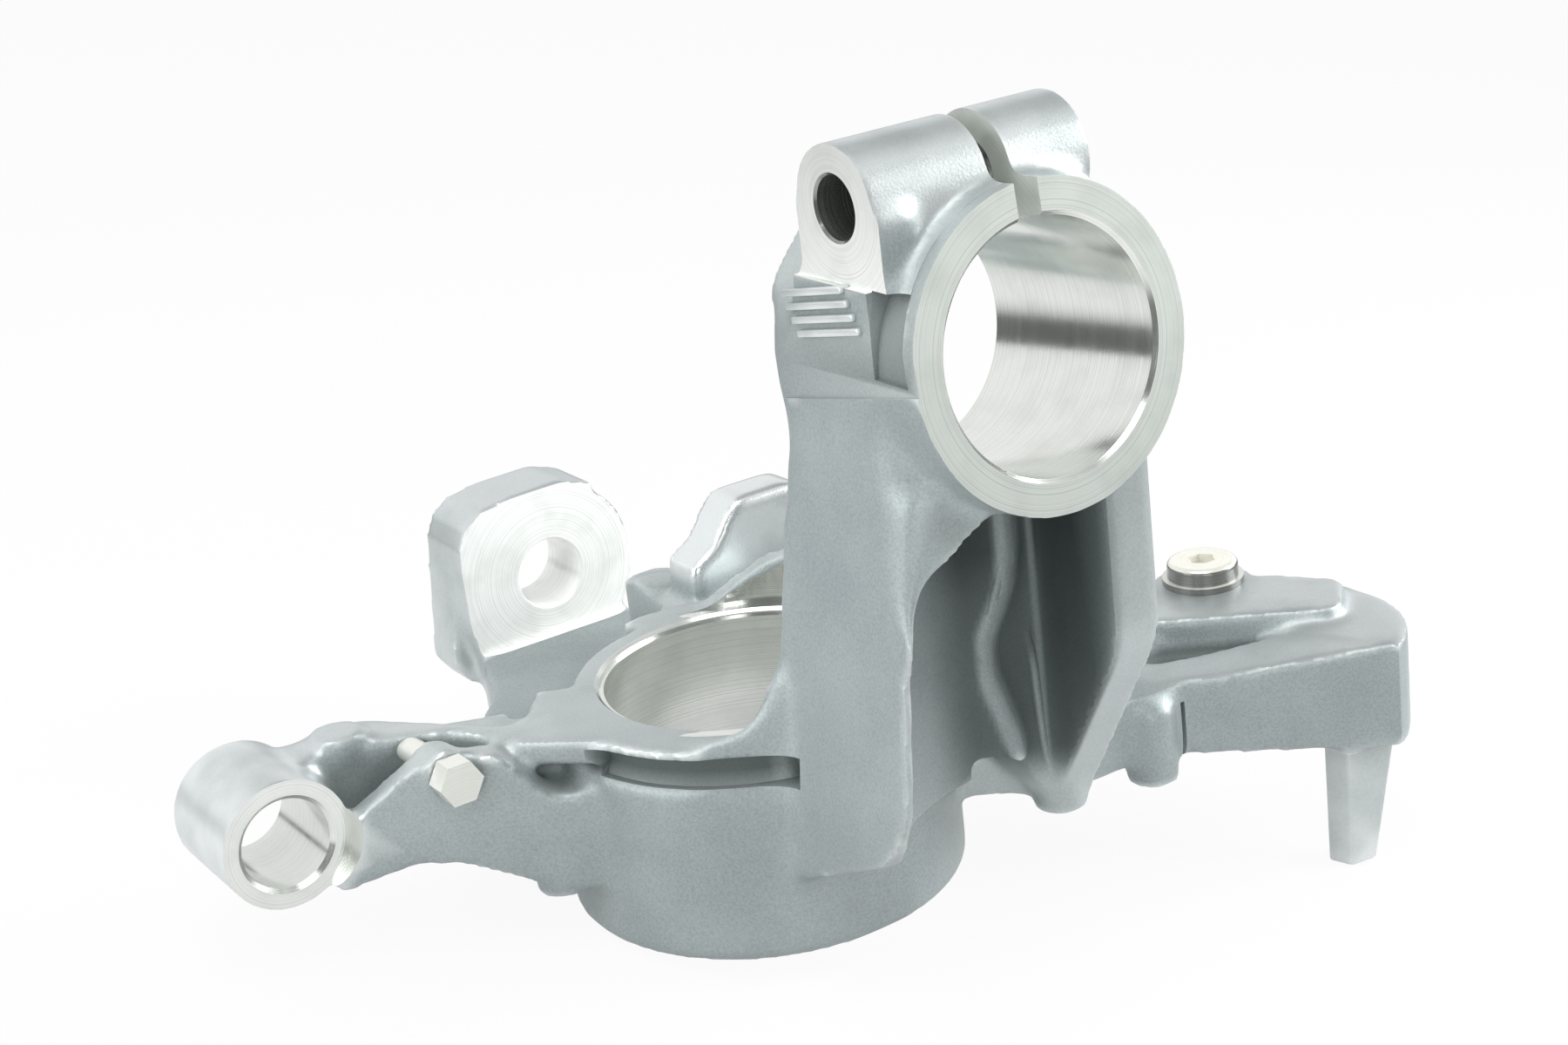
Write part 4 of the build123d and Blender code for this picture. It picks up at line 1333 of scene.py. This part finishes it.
@dataclass
class Studio:
    """Camera, floor, lights and surroundings, in metres."""

    camera_place: Point = (-0.2691, -0.4652, 0.2780)
    view: Point = (0.4892, 0.8023, -0.3420)
    up: Point = (0.2794, 0.2273, 0.9329)
    lens: float = 60.0
    sensor: float = 36.0
    aim: Point = (0.02, -0.01, 0.06)
    lamps: tuple[Lamp, ...] = (
        Lamp("top_softbox", (-0.28, -0.30, 1.10), 0.9, 8.0),
        Lamp("left_softbox", (-0.90, 0.05, 0.40), 0.7, 6.0),
        Lamp("front_softbox", (-0.35, -0.95, 0.30), 0.5, 3.0),
        Lamp("right_softbox", (0.90, -0.38, 0.36), 0.6, 11.0),
    )
    floor_normal: Point = (0.13, -0.06, 0.99)
    floor_half: float = 15.0
    floor_tone: Colour = (0.62, 0.62, 0.62, 1.0)
    floor_roughness: float = 0.9
    floor_white: float = 0.93
    paper_reach: Pair = (0.24, 0.46)
    paper_glow: Pair = (0.40, 0.55)
    ambient: Colour = (1.0, 1.0, 1.03, 1.0)
    ambient_behind: Colour = (0.12, 0.12, 0.12, 1.0)
    dark_card: Colour = (0.08, 0.085, 0.08, 1.0)
    card_way: Point = (0.50, 0.35, 0.79)
    card_edge: Pair = (0.84, 0.95)
    card_share: float = 0.92
    horizon_share: float = 0.95

    def camera(self) -> None:
        """Place the camera."""
        data = bpy.data.cameras.new("camera")
        data.lens, data.sensor_width = self.lens, self.sensor
        data.clip_start, data.clip_end = 0.01, 50.0
        obj = bpy.data.objects.new("camera", data)
        bpy.context.scene.collection.objects.link(obj)
        forward = Vector(self.view).normalized()
        right = forward.cross(Vector(self.up)).normalized()
        turn = Matrix((right, right.cross(forward), -forward)).transposed().to_4x4()
        obj.matrix_world = Matrix.Translation(Vector(self.camera_place)) @ turn
        bpy.context.scene.camera = obj

    def paper(self) -> Material:
        """Make the floor's paper: white where seen, and darker further out where mirrored.

        Returns:
            The material.
        """
        material = bpy.data.materials.new("floor_paper")
        material.use_nodes = True
        graph = Graph(material.node_tree)
        graph.shader.inputs["Base Color"].default_value = self.floor_tone
        graph.shader.inputs["Roughness"].default_value = self.floor_roughness
        path = graph.add("ShaderNodeLightPath")
        mirrored = graph.mirrored(path)
        spot = graph.add("ShaderNodeTexCoord")
        away = graph.add("ShaderNodeVectorMath", operation="LENGTH")
        graph.link(spot.outputs["Object"], away.inputs[0])
        far = graph.times(graph.ramp(away.outputs["Value"], *self.paper_reach), mirrored)
        glow = graph.add("ShaderNodeEmission", {"Strength": 1.0})
        graph.link(graph.mix(far, WHITE, self.dark_card), glow.inputs["Color"])
        rise, start = self.paper_glow
        share = graph.times(mirrored, graph.maths("ADD", graph.times(far, rise), start))
        share = graph.maths("MAXIMUM", share, graph.times(path.outputs["Is Camera Ray"], self.floor_white))
        mixed = graph.add("ShaderNodeMixShader")
        for source, socket in zip((share, graph.shader.outputs[0], glow.outputs[0]), mixed.inputs):
            graph.link(source, socket)
        graph.link(mixed.outputs[0], material.node_tree.nodes["Material Output"].inputs["Surface"])
        return material

    def floor(self) -> None:
        """Lay a pale floor under the lowest points."""
        normal = Vector(self.floor_normal).normalized()
        lowest = min(vertex.co.dot(normal) for obj in frame["nodes"].values() for vertex in obj.data.vertices)
        deselect_all()
        bpy.ops.mesh.primitive_plane_add(size=2 * self.floor_half)
        floor = bpy.context.object
        floor.name = "studio_floor"
        turn = normal.to_track_quat("Z", "Y").to_matrix().to_4x4()
        place(floor, Matrix.Translation(normal * lowest) @ turn)
        floor.data.materials.append(self.paper())

    def hang(self, lamp: Lamp) -> None:
        """Hang a soft light that looks at the object."""
        data = bpy.data.lights.new(lamp.name, "AREA")
        data.shape, data.size, data.energy = "SQUARE", lamp.size, lamp.power
        obj = bpy.data.objects.new(lamp.name, data)
        bpy.context.scene.collection.objects.link(obj)
        spot = Vector(lamp.spot)
        turn = (Vector(self.aim) - spot).to_track_quat("-Z", "Y").to_matrix().to_4x4()
        obj.matrix_world = Matrix.Translation(spot) @ turn

    def world(self) -> None:
        """Light the surroundings: white where seen, dimmer as a light, with dark cards where mirrored."""
        world = bpy.data.worlds.new("surroundings")
        bpy.context.scene.world = world
        world.use_nodes = True
        graph = Graph(world.node_tree)
        path = graph.add("ShaderNodeLightPath")
        way = graph.add("ShaderNodeTexCoord").outputs["Generated"]
        toward = graph.facing(way, -Vector(self.view))
        behind = graph.ramp(toward, 0.0, 0.8)
        ambient = graph.mix(behind, self.ambient, self.ambient_behind)
        height = graph.add("ShaderNodeSeparateXYZ")
        graph.link(way, height.inputs[0])
        horizon = graph.times(graph.ramp(height.outputs[2], 0.12, 0.00), graph.ramp(toward, -0.2, -0.5))
        over = graph.ramp(graph.facing(way, self.card_way), *self.card_edge)
        glossy = graph.mix(behind, WHITE, self.dark_card)
        glossy = graph.mix(graph.times(horizon, self.horizon_share), glossy, self.dark_card)
        glossy = graph.mix(graph.times(over, self.card_share), glossy, self.dark_card)
        tone = graph.mix(graph.mirrored(path), ambient, glossy)
        tone = graph.mix(path.outputs["Is Camera Ray"], tone, WHITE)
        graph.link(tone, world.node_tree.nodes["Background"].inputs["Color"])

    def build(self) -> None:
        """Set up the whole studio."""
        self.camera()
        self.floor()
        for lamp in self.lamps:
            self.hang(lamp)
        self.world()
        bpy.context.scene.view_settings.view_transform = "Standard"


def main() -> None:
    """Build the look and log the casting's cuts, welds and triangle count."""
    logging.basicConfig(level=logging.INFO, format="%(message)s")
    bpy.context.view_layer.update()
    skin, marks = cast_skin_group(), turning_group()
    casting = Casting()
    casting.dress(skin, marks)
    piece = casting.build()
    LOG.info("%s: %d triangles", piece.name, sum(len(p.vertices) - 2 for p in piece.data.polygons))
    Fasteners().build(marks)
    Studio().build()


if __name__ == "__main__":
    main()
